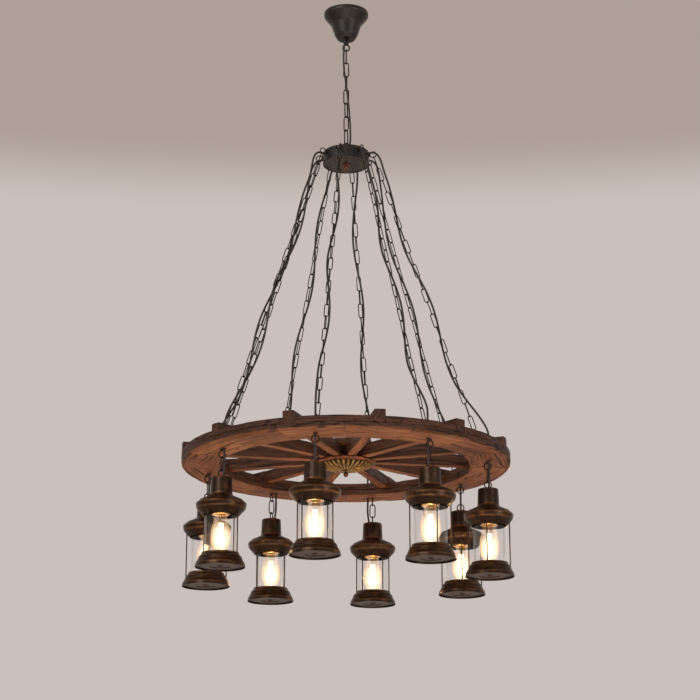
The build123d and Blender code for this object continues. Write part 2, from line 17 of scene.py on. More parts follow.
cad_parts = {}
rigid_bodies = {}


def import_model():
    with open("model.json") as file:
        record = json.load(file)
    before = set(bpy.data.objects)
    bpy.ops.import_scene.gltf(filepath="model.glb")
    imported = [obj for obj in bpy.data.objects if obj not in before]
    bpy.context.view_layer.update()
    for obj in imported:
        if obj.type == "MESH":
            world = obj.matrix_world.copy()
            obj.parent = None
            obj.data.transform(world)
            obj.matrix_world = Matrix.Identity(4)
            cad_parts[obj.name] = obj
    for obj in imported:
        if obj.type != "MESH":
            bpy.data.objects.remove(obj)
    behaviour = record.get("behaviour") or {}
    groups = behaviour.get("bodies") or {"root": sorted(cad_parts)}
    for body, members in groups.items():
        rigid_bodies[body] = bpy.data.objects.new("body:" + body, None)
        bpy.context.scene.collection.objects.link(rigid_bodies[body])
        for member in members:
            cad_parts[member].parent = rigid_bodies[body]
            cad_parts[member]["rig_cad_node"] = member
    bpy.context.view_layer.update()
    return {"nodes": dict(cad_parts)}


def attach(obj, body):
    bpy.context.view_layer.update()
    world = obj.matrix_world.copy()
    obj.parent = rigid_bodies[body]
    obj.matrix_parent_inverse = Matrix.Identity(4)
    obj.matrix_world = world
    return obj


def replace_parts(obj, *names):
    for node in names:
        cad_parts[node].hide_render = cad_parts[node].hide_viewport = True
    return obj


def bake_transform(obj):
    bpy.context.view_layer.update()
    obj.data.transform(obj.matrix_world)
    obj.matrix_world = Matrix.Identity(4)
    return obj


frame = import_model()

LOG = logging.getLogger("chandelier")
MM = 0.001
Colour = tuple[float, float, float]
Outline = list[tuple[float, float]]

ARM_COUNT = 8
ARM_STEP = 45.0
FIRST_ARM = -11.5
CORD_SIDES = (0.0, -20.0, 10.0, 0.0, -90.0, 70.0, 20.0, 30.0)
FIRST_GUARDS = (-35.0, -75.0, -10.0, -2.0, -33.0, -44.0, -80.0, -35.0)
SHEET = 1.2


class Body(str, Enum):
    """The frame's bodies that are not repeated."""

    CANOPY = "canopy"
    DROP = "drop"
    WHEEL = "wheel"


# ---------------------------------------------------------------- small geometry
def compass(azimuth: float) -> Vector:
    """The level unit vector at an azimuth."""
    angle = math.radians(azimuth)
    return Vector((math.sin(angle), -math.cos(angle), 0.0))


def along_side(azimuth: float) -> Vector:
    """The level unit vector square to an azimuth, on its left seen from above."""
    angle = math.radians(azimuth)
    return Vector((math.cos(angle), math.sin(angle), 0.0))


def facing(azimuth: float, place: Vector) -> Matrix:
    """Turn a shape made along +X to an azimuth and move it to a place."""
    return Matrix.Translation(place) @ Matrix.Rotation(math.radians(azimuth - 90.0), 4, "Z")


def rounded(
    outline: Outline, radii: Sequence[float], steps: int = 5,
) -> list[tuple[float, float, float]]:
    """Round an outline's corners with tangent arcs.

    Args:
        outline: The corners, as (radius, height).
        radii: One radius for each corner between the two ends.
        steps: The number of pieces in each arc.

    Returns:
        Points as (radius, height, wear), where wear is 1 on a worn corner.
    """
    made = [(*outline[0], 0.0)]
    for (ax, az), (bx, bz), (cx, cz), radius in zip(outline, outline[1:], outline[2:], radii):
        back = Vector((ax - bx, az - bz))
        ahead = Vector((cx - bx, cz - bz))
        half = back.angle(ahead) / 2
        reach = min(radius / math.tan(half), 0.48 * back.length, 0.48 * ahead.length)
        back.normalize()
        ahead.normalize()
        inward = (back + ahead).normalized()
        size = reach * math.tan(half)
        middle = Vector((bx, bz)) + inward * (size / math.sin(half))
        start = Vector((bx, bz)) + back * reach - middle
        end = Vector((bx, bz)) + ahead * reach - middle
        sweep = start.angle_signed(end)
        made.append((*(middle + start + back * min(2.0, reach)), 0.0))
        for k in range(steps + 1):
            turn = -sweep * k / steps
            spoke = Vector((start.x * math.cos(turn) - start.y * math.sin(turn),
                            start.x * math.sin(turn) + start.y * math.cos(turn)))
            made.append((*(middle + spoke), 1.0 if radius < 8 else 0.35))
        made.append((*(middle + end + ahead * min(2.0, reach)), 0.0))
    made.append((*outline[-1], 0.0))
    return made


def inset(
    points: Sequence[tuple[float, float, float]], wall: float,
) -> list[tuple[float, float, float]]:
    """Move an outline sideways by a wall's thickness, on its right as it is followed."""
    moved = []
    for i, (x, z, _) in enumerate(points):
        before = points[max(i - 1, 0)]
        after = points[min(i + 1, len(points) - 1)]
        run = math.hypot(after[0] - before[0], after[1] - before[1]) or 1.0
        moved.append(
            (max(x + (after[1] - before[1]) / run * wall, 0.0), z - (after[0] - before[0]) / run * wall, 0.0)
        )
    return moved


@dataclass
class Shape:
    """A mesh in the making, in millimetres, with the attributes that its finish reads."""

    points: list[Vector] = field(default_factory=list)
    faces: list[tuple[int, ...]] = field(default_factory=list)
    wear: list[float] = field(default_factory=list)
    grain: list[Vector] = field(default_factory=list)

    def ring(self, points: Iterable[Vector], wear: Iterable[float] | None = None) -> range:
        """Add a row of points.

        Args:
            points: The points, in order.
            wear: One wear value for each point, or none.

        Returns:
            The new points' indices.
        """
        start = len(self.points)
        self.points += [Vector(p) for p in points]
        count = len(self.points) - start
        self.wear += list(wear) if wear is not None else [0.0] * count
        self.grain += [Vector((0, 0, 0))] * count
        return range(start, start + count)

    def bridge(self, first: range, second: range, closed: bool = True) -> None:
        """Join two rows of points with quads."""
        count = len(first)
        for i in range(count if closed else count - 1):
            j = (i + 1) % count
            self.faces.append((first[i], first[j], second[j], second[i]))

    def join(self, other: "Shape") -> "Shape":
        """Add another shape to this one."""
        base = len(self.points)
        self.points += [p.copy() for p in other.points]
        self.wear += other.wear
        self.grain += other.grain
        self.faces += [tuple(base + i for i in f) for f in other.faces]
        return self

    def moved(self, matrix: Matrix) -> "Shape":
        """A copy of the shape, moved by a matrix in millimetres."""
        return Shape(
            [matrix @ p for p in self.points], list(self.faces), list(self.wear), list(self.grain),
        )

    def piece(self, name: str, finish: "Finish", smooth: bool = True) -> bpy.types.Object:
        """Make the shape an object at the origin.

        Args:
            name: The piece's name.
            finish: What its surface is made of.
            smooth: Whether its faces are shaded smooth.

        Returns:
            The new object, not riding on a body yet.
        """
        mesh = bpy.data.meshes.new(name)
        mesh.from_pydata([p * MM for p in self.points], [], self.faces)
        worn = mesh.attributes.new("worn", "FLOAT", "POINT")
        worn.data.foreach_set("value", self.wear)
        along = mesh.attributes.new("grain", "FLOAT_VECTOR", "POINT")
        along.data.foreach_set("vector", [c for g in self.grain for c in g])
        work = bmesh.new()
        work.from_mesh(mesh)
        bmesh.ops.remove_doubles(work, verts=work.verts, dist=2e-6)
        bmesh.ops.recalc_face_normals(work, faces=work.faces)
        work.to_mesh(mesh)
        work.free()
        mesh.polygons.foreach_set("use_smooth", [smooth] * len(mesh.polygons))
        if smooth:
            mesh.set_sharp_from_angle(angle=math.radians(38))
        made = bpy.data.objects.new(name, mesh)
        bpy.context.scene.collection.objects.link(made)
        finish.dress(made)
        return made


def lathe(
    outline: Sequence[tuple[float, float, float]], segments: int = 56, closed: bool = False,
) -> Shape:
    """Spin an outline about the vertical axis.

    Args:
        outline: Points as (radius, height, wear).
        segments: The number of steps round the axis.
        closed: Whether the last point joins the first, as on a sheet-metal shell.

    Returns:
        The spun shape, about the origin's vertical axis.
    """
    made = Shape()
    rows = []
    for k in range(segments):
        out = compass(360.0 * k / segments)
        rows.append(
            made.ring([out * r + Vector((0, 0, z)) for r, z, _ in outline], [w for _, _, w in outline])
        )
    for k in range(segments):
        made.bridge(rows[k], rows[(k + 1) % segments], closed)
    return made


def shell(outline: Outline, radii: Sequence[float], wall: float = SHEET, segments: int = 56) -> Shape:
    """A spun sheet-metal shell: a rounded outline, thickened inwards."""
    outer = rounded(outline, radii)
    return lathe([*outer, *reversed(inset(outer, wall))], segments, closed=True)


def turned(outline: Outline, radii: Sequence[float], segments: int = 40) -> Shape:
    """A turned solid whose outline starts and ends on the axis."""
    return lathe(rounded(outline, radii), segments)


def tube(path: Sequence[Vector], radius: float, sides: int = 10, looped: bool = False) -> Shape:
    """A round tube along a path.

    Args:
        path: The points that its middle follows.
        radius: The tube's radius.
        sides: The number of faces round it.
        looped: Whether the last point joins the first.

    Returns:
        The tube, closed at both ends, with the distance along it in the attribute grain.
    """
    made = Shape()
    rows = []
    count = len(path)
    across = None
    run = 0.0
    for i, point in enumerate(path):
        before = path[i - 1] if i or looped else path[0]
        after = path[(i + 1) % count] if i < count - 1 or looped else path[-1]
        direction = (after - before).normalized()
        if across is None:
            across = direction.orthogonal()
        across = (across - direction * across.dot(direction)).normalized()
        other = direction.cross(across)
        run += (point - path[i - 1]).length if i else 0.0
        turns = [2 * math.pi * k / sides for k in range(sides)]
        row = made.ring([point + (across * math.cos(t) + other * math.sin(t)) * radius for t in turns])
        for k, index in enumerate(row):
            made.grain[index] = Vector((run, turns[k] * radius, 0)) * MM
        rows.append(row)
    for first, second in zip(rows, rows[1:]):
        made.bridge(first, second)
    if looped:
        made.bridge(rows[-1], rows[0])
    else:
        made.faces.append(tuple(reversed(rows[0])))
        made.faces.append(tuple(rows[-1]))
    return made


def wire_ring(radius: float, wire: float, normal: Vector, segments: int = 28) -> Shape:
    """A ring of round wire about the origin.

    Args:
        radius: The ring's outer radius.
        wire: The wire's diameter.
        normal: The way its hole faces.
        segments: The number of steps round it.
    """
    first = normal.orthogonal().normalized()
    second = normal.normalized().cross(first)
    steps = [2 * math.pi * k / segments for k in range(segments)]
    middle = radius - wire / 2
    return tube(
        [(first * math.cos(t) + second * math.sin(t)) * middle for t in steps], wire / 2, 8, looped=True,
    )


def rod(radius: float, bottom: float, top: float, edge: float = 0.4) -> Shape:
    """An upright round rod with eased ends."""
    return turned([(0, bottom), (radius, bottom), (radius, top), (0, top)], [edge, edge], 24)


def chain_link(inside: float, width: float, wire: float) -> Shape:
    """A long link of a few dozen faces, its length along Z and its width along X."""
    bend = (width - wire) / 2
    straight = (inside + wire) / 2 - bend
    path = []
    for end in (1, -1):
        for k in range(6):
            turn = math.pi * k / 5
            path.append(
                Vector((end * bend * math.cos(turn), 0, end * (straight + bend * math.sin(turn))))
            )
    return tube(path, wire / 2, 6, looped=True)


# ---------------------------------------------------------------- node trees
class Signal:
    """A node's number socket that can be used in arithmetic."""

    def __init__(self, graph: "Graph", socket: bpy.types.NodeSocket) -> None:
        """Wrap one output socket of a graph."""
        self.graph = graph
        self.socket = socket

    def _do(self, operation: str, first: Any, second: Any) -> "Signal":
        """Add one Math node."""
        return self.graph.add("ShaderNodeMath", {0: first, 1: second}, operation=operation)

    def __add__(self, other: Any) -> "Signal":
        """self + other."""
        return self._do("ADD", self, other)

    __radd__ = __add__

    def __mul__(self, other: Any) -> "Signal":
        """self * other."""
        return self._do("MULTIPLY", self, other)

    __rmul__ = __mul__

    def __sub__(self, other: Any) -> "Signal":
        """self - other."""
        return self._do("SUBTRACT", self, other)

    def __rsub__(self, other: Any) -> "Signal":
        """other - self."""
        return self._do("SUBTRACT", other, self)

    def __mod__(self, other: Any) -> "Signal":
        """self modulo other."""
        return self._do("MODULO", self, other)

    def between(self, low: float, high: float) -> "Signal":
        """A smooth step from 0 at low to 1 at high; high may be the smaller."""
        return self.graph.add(
            "ShaderNodeMapRange", {
                "Value": self, "From Min": low, "From Max": high,
            }, interpolation_type="SMOOTHSTEP"
        )


class Graph:
    """A node tree that is written as calls and expressions."""

    def __init__(self, tree: bpy.types.NodeTree) -> None:
        """Wrap an empty node tree."""
        self.tree = tree

    def add(
        self, kind: str, sockets: dict[Any, Any] | None = None, out: Any = 0, **settings: Any,
    ) -> Signal:
        """Add a node.

        Args:
            kind: The node's type.
            sockets: Values or signals for its inputs, by name or index.
            out: The output that is handed back.
            **settings: The node's own settings, set before its sockets. stops fills a colour ramp.

        Returns:
            The chosen output.
        """
        node = self.tree.nodes.new(kind)
        stops = settings.pop("stops", None)
        for name, value in settings.items():
            setattr(node, name, value)
        if stops:
            ramp = node.color_ramp.elements
            while len(ramp) < len(stops):
                ramp.new(0.5)
            for element, (place, colour) in zip(ramp, stops):
                element.position = place
                element.color = (*colour, 1.0)
        for name, value in (sockets or {}).items():
            target = node.inputs[name]
            if isinstance(value, Signal):
                self.tree.links.new(value.socket, target)
            else:
                target.default_value = value
        return Signal(self, node.outputs[out]) if len(node.outputs) else Signal(self, None)

    def blend(self, factor: Any, first: Any, second: Any) -> Signal:
        """Mix two colours, each a signal or red, green and blue."""
        ends = [(*c, 1.0) if isinstance(c, tuple) else c for c in (first, second)]
        return self.add("ShaderNodeMix", {0: factor, 6: ends[0], 7: ends[1]}, out=2, data_type="RGBA")

    def noise(
        self, place: Signal, scale: float, detail: float = 4.0, rough: float = 0.55, twist: float = 0.0,
    ) -> Signal:
        """A noise texture's value, from about 0.2 to 0.8."""
        sockets = {
            "Vector": place, "Scale": scale, "Detail": detail, "Roughness": rough, "Distortion": twist,
        }
        return self.add("ShaderNodeTexNoise", sockets)

    def stretched(self, place: Signal, factors: Colour) -> Signal:
        """A place multiplied along each axis."""
        return self.add("ShaderNodeVectorMath", {0: place, 1: factors}, operation="MULTIPLY")


class Finish:
    """A surface finish. Each kind paints its own material, once."""

    name: str
    slot: str

    def paint(self, graph: Graph, shader: bpy.types.ShaderNode, place: Signal) -> None:
        """Set the shader's sockets and add the pattern's nodes."""
        raise NotImplementedError

    def material(self) -> bpy.types.Material:
        """The material, made the first time it is asked for."""
        title = self.name + "_finish"
        found = bpy.data.materials.get(title)
        if found:
            return found
        made = bpy.data.materials.new(title)
        made.use_nodes = True
        graph = Graph(made.node_tree)
        shader = made.node_tree.nodes["Principled BSDF"]
        place = graph.add("ShaderNodeTexCoord", out="Object")
        self.paint(graph, shader, place)
        return made

    def dress(self, piece: bpy.types.Object) -> bpy.types.Object:
        """Give a piece this finish, as its only material."""
        piece.data.materials.clear()
        piece.data.materials.append(self.material())
        return piece


def feed(graph: Graph, shader: bpy.types.ShaderNode, socket: str, value: Any) -> None:
    """Link a signal to a shader's socket, or set the socket's own value."""
    if isinstance(value, Signal):
        graph.tree.links.new(value.socket, shader.inputs[socket])
    else:
        shader.inputs[socket].default_value = (*value, 1.0) if isinstance(value, tuple) else value


def raise_surface(
    graph: Graph, shader: bpy.types.ShaderNode, height: Signal, distance: float, strength: float,
) -> None:
    """Feed a height, in millimetres at its full value, to the shader's normal."""
    bump = graph.add(
        "ShaderNodeBump", {"Height": height, "Distance": distance * MM, "Strength": strength},
    )
    graph.tree.links.new(bump.socket, shader.inputs["Normal"])


@dataclass(frozen=True)
class AgedMetal(Finish):
    """Dark painted or plated metal, lightened at its edges by rubbing and by a painted highlight, and mottled in
    between.
    """

    name: str
    slot: str
    deep: Colour
    # The lighter colour of rubbed metal, also used as a painted highlight along the edges.
    rubbed: Colour
    rub_and_sheen: float = 0.35
    roughness: float = 0.42
    metallic: float = 0.75
    grain_mm: float = 6.0
    pitting: float = 0.25

    def paint(self, graph: Graph, shader: bpy.types.ShaderNode, place: Signal) -> None:
        """Mottle the colour and roughness, lighten the corners as rubbed metal with a painted highlight, and pit the
        surface.
        """
        scale = 1.0 / (self.grain_mm * MM)
        cloud = graph.noise(place, scale * 0.35, 5.0, 0.6)
        speck = graph.noise(place, scale * 3.0, 3.0, 0.6)
        worn = graph.add("ShaderNodeAttribute", out="Fac", attribute_name="worn")
        # Corners marked worn are lifted towards the rubbed colour: partly wear, partly a painted highlight along the
        # edges.
        rubbed = (
            cloud * 0.9 + speck * 0.5 + worn * 0.22
        ).between(0.66, 1.12) * self.rub_and_sheen * 1.6 + worn * self.rub_and_sheen * 0.12
        feed(graph, shader, "Base Color", graph.blend(rubbed, self.deep, self.rubbed))
        feed(graph, shader, "Metallic", self.metallic)
        feed(graph, shader, "Roughness", self.roughness - 0.12 + cloud * 0.2 + speck * 0.08)
        raise_surface(graph, shader, speck * 0.6 + cloud * 0.4, 0.25, self.pitting)


@dataclass(frozen=True)
class CarvedWood(Finish):
    """Wood with long dark checks, its grain running along each plank, its sides and top darkened by painted shade."""

    name: str = "carved_wood"
    slot: str = "carved_wood"
    dark: Colour = (0.080, 0.026, 0.011)
    middle: Colour = (0.285, 0.094, 0.036)
    light: Colour = (0.55, 0.225, 0.092)
    # The colour of the painted shade on the sides and top.
    painted_side_shade: Colour = (0.032, 0.013, 0.008)
    crack: Colour = (0.010, 0.004, 0.0025)

    def paint(self, graph: Graph, shader: bpy.types.ShaderNode, place: Signal) -> None:
        """Lay fibres, growth bands and checks along the grain, and paint shade on the sides and top so that the
        underside reads lighter.
        """
        place = graph.add("ShaderNodeAttribute", out="Vector", attribute_name="grain")
        drift = graph.noise(graph.stretched(place, (3.0, 14.0, 14.0)), 1.0, 3.0).between(0.3, 0.7)
        bands = graph.noise(
            graph.stretched(place, (4.0, 95.0, 95.0)), 1.0, 5.0, 0.62, 1.4,
        ).between(0.34, 0.66)
        fibres = graph.noise(
            graph.stretched(place, (24.0, 640.0, 640.0)), 1.0, 4.0, 0.7, 0.3,
        ).between(0.3, 0.7)
        checks = graph.noise(graph.stretched(place, (5.0, 92.0, 92.0)), 1.0, 6.0, 0.6, 2.2)
        cracked = checks.between(0.435, 0.385)
        splits = graph.noise(
            graph.stretched(place, (2.6, 46.0, 46.0)), 1.0, 5.0, 0.55, 1.6,
        ).between(0.375, 0.345)
        fine = graph.noise(
            graph.stretched(place, (15.0, 300.0, 300.0)), 1.0, 4.0, 0.6, 0.8,
        ).between(0.42, 0.34)
        tone = bands * 0.5 + fibres * 0.24 + drift * 0.34 - 0.05
        grain = graph.add(
            "ShaderNodeValToRGB", {"Fac": tone},
            stops=[(0.0, self.dark), (0.45, self.middle), (1.0, self.light)],
        )
        worn = graph.add("ShaderNodeAttribute", out="Fac", attribute_name="worn")
        edged = graph.blend(worn * 0.5, grain, self.dark)
        # Painted shade: faces that point sideways or up are blended towards a dark brown, so that the underside reads
        # as lit from below.
        side = graph.add(
            "ShaderNodeSeparateXYZ", {"Vector": graph.add("ShaderNodeTexCoord", out="Normal")}, out="Z",
        )
        side_shaded = graph.blend(side.between(-0.78, -0.25) * 0.86, edged, self.painted_side_shade)
        marks = graph.blend(cracked * 0.85, side_shaded, self.crack)
        deep = graph.blend(splits * 0.97, marks, self.crack)
        feed(graph, shader, "Base Color", graph.blend(fine * 0.55, deep, self.crack))
        feed(graph, shader, "Roughness", 0.60 - fibres * 0.16 + cracked * 0.25)
        feed(graph, shader, "Specular IOR Level", 0.3)
        height = bands * 0.45 + fibres * 0.22 - cracked * 0.9 - splits * 1.3 - fine * 0.3
        raise_surface(graph, shader, height, 1.6, 0.9)


@dataclass(frozen=True)
class SheathedCord(Finish):
    """A cord's black sheath, lightly ribbed along its length."""

    name: str = "cord_black"
    slot: str = "cord_black"
    colour: Colour = (0.018, 0.014, 0.012)
    rubbed: Colour = (0.055, 0.042, 0.034)
    twist_mm: float = 9.0

    def paint(self, graph: Graph, shader: bpy.types.ShaderNode, place: Signal) -> None:
        """Scuff the colour and wind a shallow rib round the sheath."""
        run = graph.add("ShaderNodeAttribute", out="Vector", attribute_name="grain")
        parts = graph.add("ShaderNodeSeparateXYZ", {"Vector": run}, out="X")
        around = Signal(graph, parts.socket.node.outputs["Y"])
        wound = (parts * (1000.0 / self.twist_mm) + around * 190.0) * (2 * math.pi)
        rib = graph.add("ShaderNodeMath", {0: wound}, operation="SINE")
        scuff = graph.noise(place, 260.0, 4.0)
        feed(
            graph, shader, "Base Color",
            graph.blend(scuff.between(0.4, 0.75) * 0.6, self.colour, self.rubbed),
        )
        feed(graph, shader, "Roughness", 0.45 + scuff * 0.25)
        raise_surface(graph, shader, rib * 0.5 + scuff * 0.4, 0.3, 0.35)


@dataclass(frozen=True)
class ClearGlass(Finish):
    """Thin clear glass that greys towards its edges and carries faint smears."""

    name: str = "clear_glass"
    slot: str = "clear_glass"
    tint: Colour = (0.70, 0.70, 0.67)
    clear: float = 0.012
    edge: float = 0.60

    def paint(self, graph: Graph, shader: bpy.types.ShaderNode, place: Signal) -> None:
        """Thicken the glass at its edges and smear its gloss."""
        graze = graph.add("ShaderNodeLayerWeight", {"Blend": 0.32}, out="Facing")
        smear = graph.noise(graph.stretched(place, (60.0, 60.0, 14.0)), 1.0, 4.0)
        feed(graph, shader, "Base Color", self.tint)
        feed(graph, shader, "Metallic", 1.0)
        feed(graph, shader, "Alpha", graze * graze * graze * self.edge + smear * 0.04 + self.clear)
        feed(graph, shader, "Roughness", smear * 0.07 + 0.02)


@dataclass(frozen=True)
class LampGlass(Finish):
    """The lamp's clear amber bulb, filled with its filament's light."""

    name: str = "amber_lamp"
    slot: str = "amber_lamp"
    tint: Colour = (0.020, 0.010, 0.004)
    core: Colour = (1.0, 0.86, 0.58)
    rim: Colour = (0.62, 0.28, 0.07)
    strength: float = 1.5
    top: float = -1372.0

    def paint(self, graph: Graph, shader: bpy.types.ShaderNode, place: Signal) -> None:
        """Glow over the filament's height, whitest in the middle and amber towards the rim."""
        height = graph.add("ShaderNodeSeparateXYZ", {"Vector": place}, out="Z")
        lit = height.between(self.top * MM, (self.top - 52) * MM)
        graze = graph.add("ShaderNodeLayerWeight", {"Blend": 0.40}, out="Facing")
        hot = lit * (1.0 - graze)
        feed(graph, shader, "Base Color", self.tint)
        feed(graph, shader, "Emission Color", graph.blend(hot, self.rim, self.core))
        feed(graph, shader, "Emission Strength", self.strength)
        feed(
            graph, shader, "Alpha", hot * hot * 0.62 + graze * lit * 0.12 + graze * graze * 0.16 + 0.07,
        )
        feed(graph, shader, "Roughness", 0.04)


@dataclass(frozen=True)
class Filament(Finish):
    """The glowing wire."""

    name: str = "filament"
    slot: str = "amber_lamp"
    colour: Colour = (1.0, 0.62, 0.22)
    strength: float = 14.0

    def paint(self, graph: Graph, shader: bpy.types.ShaderNode, place: Signal) -> None:
        """Vary the glow a little along the wire."""
        wave = graph.noise(place, 300.0, 2.0)
        feed(graph, shader, "Base Color", self.colour)
        feed(graph, shader, "Emission Color", graph.blend(wave, self.colour, (1.0, 0.78, 0.42)))
        feed(graph, shader, "Emission Strength", self.strength)


@dataclass(frozen=True)
class MouldedPlastic(Finish):
    """Pale moulded plastic."""

    name: str = "terminal_plastic"
    slot: str = "terminal_plastic"
    colour: Colour = (0.72, 0.71, 0.66)

    def paint(self, graph: Graph, shader: bpy.types.ShaderNode, place: Signal) -> None:
        """Yellow the plastic unevenly and give it a fine moulded texture."""
        age = graph.noise(place, 90.0)
        feed(graph, shader, "Base Color", graph.blend(age, self.colour, (0.60, 0.56, 0.46)))
        feed(graph, shader, "Roughness", 0.42 + age * 0.15)
        raise_surface(graph, shader, graph.noise(place, 2400.0, 2.0), 0.05, 0.3)


BLACK = AgedMetal(
    name="black_steel", slot="black_steel",
    deep=(0.008, 0.007, 0.006), rubbed=(0.045, 0.033, 0.025),
    rub_and_sheen=0.22, roughness=0.40, metallic=0.15, grain_mm=8.0, pitting=0.15,
)
PLATE = AgedMetal(
    name="plate_grey", slot="black_steel",
    deep=(0.060, 0.052, 0.045), rubbed=(0.16, 0.13, 0.105),
    rub_and_sheen=0.5, roughness=0.38, metallic=0.5, grain_mm=8.0, pitting=0.15,
)
BRONZE = AgedMetal(
    name="rust_bronze", slot="rust_bronze",
    deep=(0.022, 0.0105, 0.0045), rubbed=(0.17, 0.075, 0.026),
    rub_and_sheen=0.42, roughness=0.30, metallic=0.68, grain_mm=7.0, pitting=0.15,
)
IRON = AgedMetal(
    name="chain_bronze", slot="chain_bronze",
    deep=(0.016, 0.009, 0.006), rubbed=(0.13, 0.06, 0.034),
    rub_and_sheen=0.40, roughness=0.45, metallic=0.55, grain_mm=4.0, pitting=0.35,
)
COPPER = AgedMetal(
    name="copper_bronze", slot="copper_bronze",
    deep=(0.060, 0.022, 0.012), rubbed=(0.42, 0.16, 0.075),
    rub_and_sheen=0.55, roughness=0.34, metallic=0.90, grain_mm=4.0, pitting=0.25,
)
BRASS = AgedMetal(
    name="antique_brass", slot="antique_brass",
    deep=(0.16, 0.085, 0.026), rubbed=(0.72, 0.48, 0.18),
    rub_and_sheen=0.62, roughness=0.30, metallic=0.95, grain_mm=3.0, pitting=0.25,
)
SOCKET = AgedMetal(
    name="socket_brass", slot="antique_brass",
    deep=(0.46, 0.27, 0.085), rubbed=(0.86, 0.60, 0.24),
    rub_and_sheen=0.6, roughness=0.26, metallic=0.95, grain_mm=3.0, pitting=0.15,
)
SLOTTED = AgedMetal(
    name="slot_dark", slot="antique_brass",
    deep=(0.035, 0.020, 0.008), rubbed=(0.16, 0.09, 0.03),
    rub_and_sheen=0.35, roughness=0.5, metallic=0.85, grain_mm=3.0, pitting=0.3,
)
ZINC = AgedMetal(
    name="zinc_steel", slot="zinc_steel",
    deep=(0.34, 0.35, 0.36), rubbed=(0.62, 0.63, 0.64),
    rub_and_sheen=0.5, roughness=0.36, metallic=0.95, grain_mm=5.0, pitting=0.15,
)
WOOD = CarvedWood()
CORD = SheathedCord()
GLASS = ClearGlass()
LAMP = LampGlass()
HOT_WIRE = Filament()
PLASTIC = MouldedPlastic()


class Repeat:
    """Geometry Nodes that copy a mesh along a line while they turn it."""

    NAME = "copies_along_a_line"
    INPUTS = (
        ("Count", "NodeSocketInt"), ("Start", "NodeSocketVector"), ("Step", "NodeSocketVector"),
        ("Lie", "NodeSocketVector"), ("Turn", "NodeSocketFloat"), ("Play", "NodeSocketFloat"),
        ("Seed", "NodeSocketInt"), ("Finish", "NodeSocketMaterial"),
    )

    @classmethod
    def tree(cls) -> bpy.types.NodeTree:
        """The node tree, made the first time it is asked for."""
        found = bpy.data.node_groups.get(cls.NAME)
        if found:
            return found
        made = bpy.data.node_groups.new(cls.NAME, "GeometryNodeTree")
        made.interface.new_socket("Geometry", in_out="INPUT", socket_type="NodeSocketGeometry")
        for name, kind in cls.INPUTS:
            made.interface.new_socket(name, in_out="INPUT", socket_type=kind)
        made.interface.new_socket("Geometry", in_out="OUTPUT", socket_type="NodeSocketGeometry")
        graph = Graph(made)
        source = graph.add("NodeGroupInput")

        def given(name: str) -> Signal:
            """One of the tree's inputs."""
            return Signal(graph, source.socket.node.outputs[name])

        line = graph.add(
            "GeometryNodeMeshLine",
            {"Count": given("Count"), "Start Location": given("Start"), "Offset": given("Step")},
            mode="OFFSET",
        )
        index = graph.add("GeometryNodeInputIndex")
        loose = graph.add(
            "FunctionNodeRandomValue", {2: -1.0, 3: 1.0, "Seed": given("Seed")}, out=1,
            data_type="FLOAT",
        )
        spin = index * given("Turn") + loose * given("Play")
        own = graph.add(
            "FunctionNodeEulerToRotation", {0: graph.add("ShaderNodeCombineXYZ", {"Z": spin})},
        )
        lie = graph.add("FunctionNodeEulerToRotation", {0: given("Lie")})
        turned_to = graph.add("FunctionNodeRotateRotation", {0: own, 1: lie}, rotation_space="GLOBAL")
        copies = graph.add(
            "GeometryNodeInstanceOnPoints", {
                "Points": line, "Instance": given("Geometry"), "Rotation": turned_to,
            }
        )
        real = graph.add("GeometryNodeRealizeInstances", {0: copies})
        dressed = graph.add("GeometryNodeSetMaterial", {"Geometry": real, "Material": given("Finish")})
        graph.add("NodeGroupOutput", {0: dressed})
        return made

    @classmethod
    def piece(
        cls, name: str, unit: Shape, finish: Finish, count: int, start: Vector, step: Vector = Vector(
            (0, 0, 0)
        ),
        lie: Matrix | None = None, turn: float = 90.0, play: float = 0.0, seed: int = 1,
    ) -> bpy.types.Object:
        """Copy a shape and return the copies as one plain mesh.

        Args:
            name: The new piece's name.
            unit: What is copied, about its own origin.
            finish: The copies' finish.
            count: The number of copies.
            start: Where the first one goes, in millimetres.
            step: From one copy to the next, in millimetres.
            lie: The turn that every copy takes after its own.
            turn: How far each copy is turned about its own Z from the one before, in degrees.
            play: The most that a copy is turned out of step, in degrees.
            seed: The seed of that play.

        Returns:
            The copies, with no modifier left.
        """
        held = unit.piece(name + "_unit", finish)
        modifier = held.modifiers.new("copies", "NODES")
        modifier.node_group = cls.tree()
        values = {
            "Count": count, "Start": tuple(start * MM), "Step": tuple(step * MM),
            "Lie": tuple(lie.to_euler()) if lie else (0.0, 0.0, 0.0),
            "Turn": math.radians(
                turn
            ), "Play": math.radians(play), "Seed": seed, "Finish": finish.material(),
        }
        for item in cls.tree().interface.items_tree:
            if item.in_out == "INPUT" and item.name in values:
                modifier[item.identifier] = values[item.name]
        bpy.context.view_layer.update()
        seen = held.evaluated_get(bpy.context.evaluated_depsgraph_get())
        mesh = bpy.data.meshes.new_from_object(seen)
        mesh.name = name
        bpy.data.objects.remove(held)
        made = bpy.data.objects.new(name, mesh)
        bpy.context.scene.collection.objects.link(made)
        return finish.dress(made)


def spline_points(route: Sequence[Vector], name: str) -> list[Vector]:
    """Points along the NURBS spline whose control points are a cord's route, in millimetres."""
    curve = bpy.data.curves.new(name + "_line", "CURVE")
    curve.dimensions = "3D"
    curve.resolution_u = 8
    spline = curve.splines.new("NURBS")
    spline.points.add(len(route) - 1)
    for point, place in zip(spline.points, route):
        point.co = (*(place * MM), 1.0)
    spline.order_u = 3
    spline.use_endpoint_u = True
    holder = bpy.data.objects.new(name + "_line", curve)
    bpy.context.scene.collection.objects.link(holder)
    bpy.context.view_layer.update()
    seen = holder.evaluated_get(bpy.context.evaluated_depsgraph_get())
    mesh = bpy.data.meshes.new_from_object(seen)
    points = [v.co / MM for v in mesh.vertices]
    bpy.data.objects.remove(holder)
    bpy.data.meshes.remove(mesh)
    return points


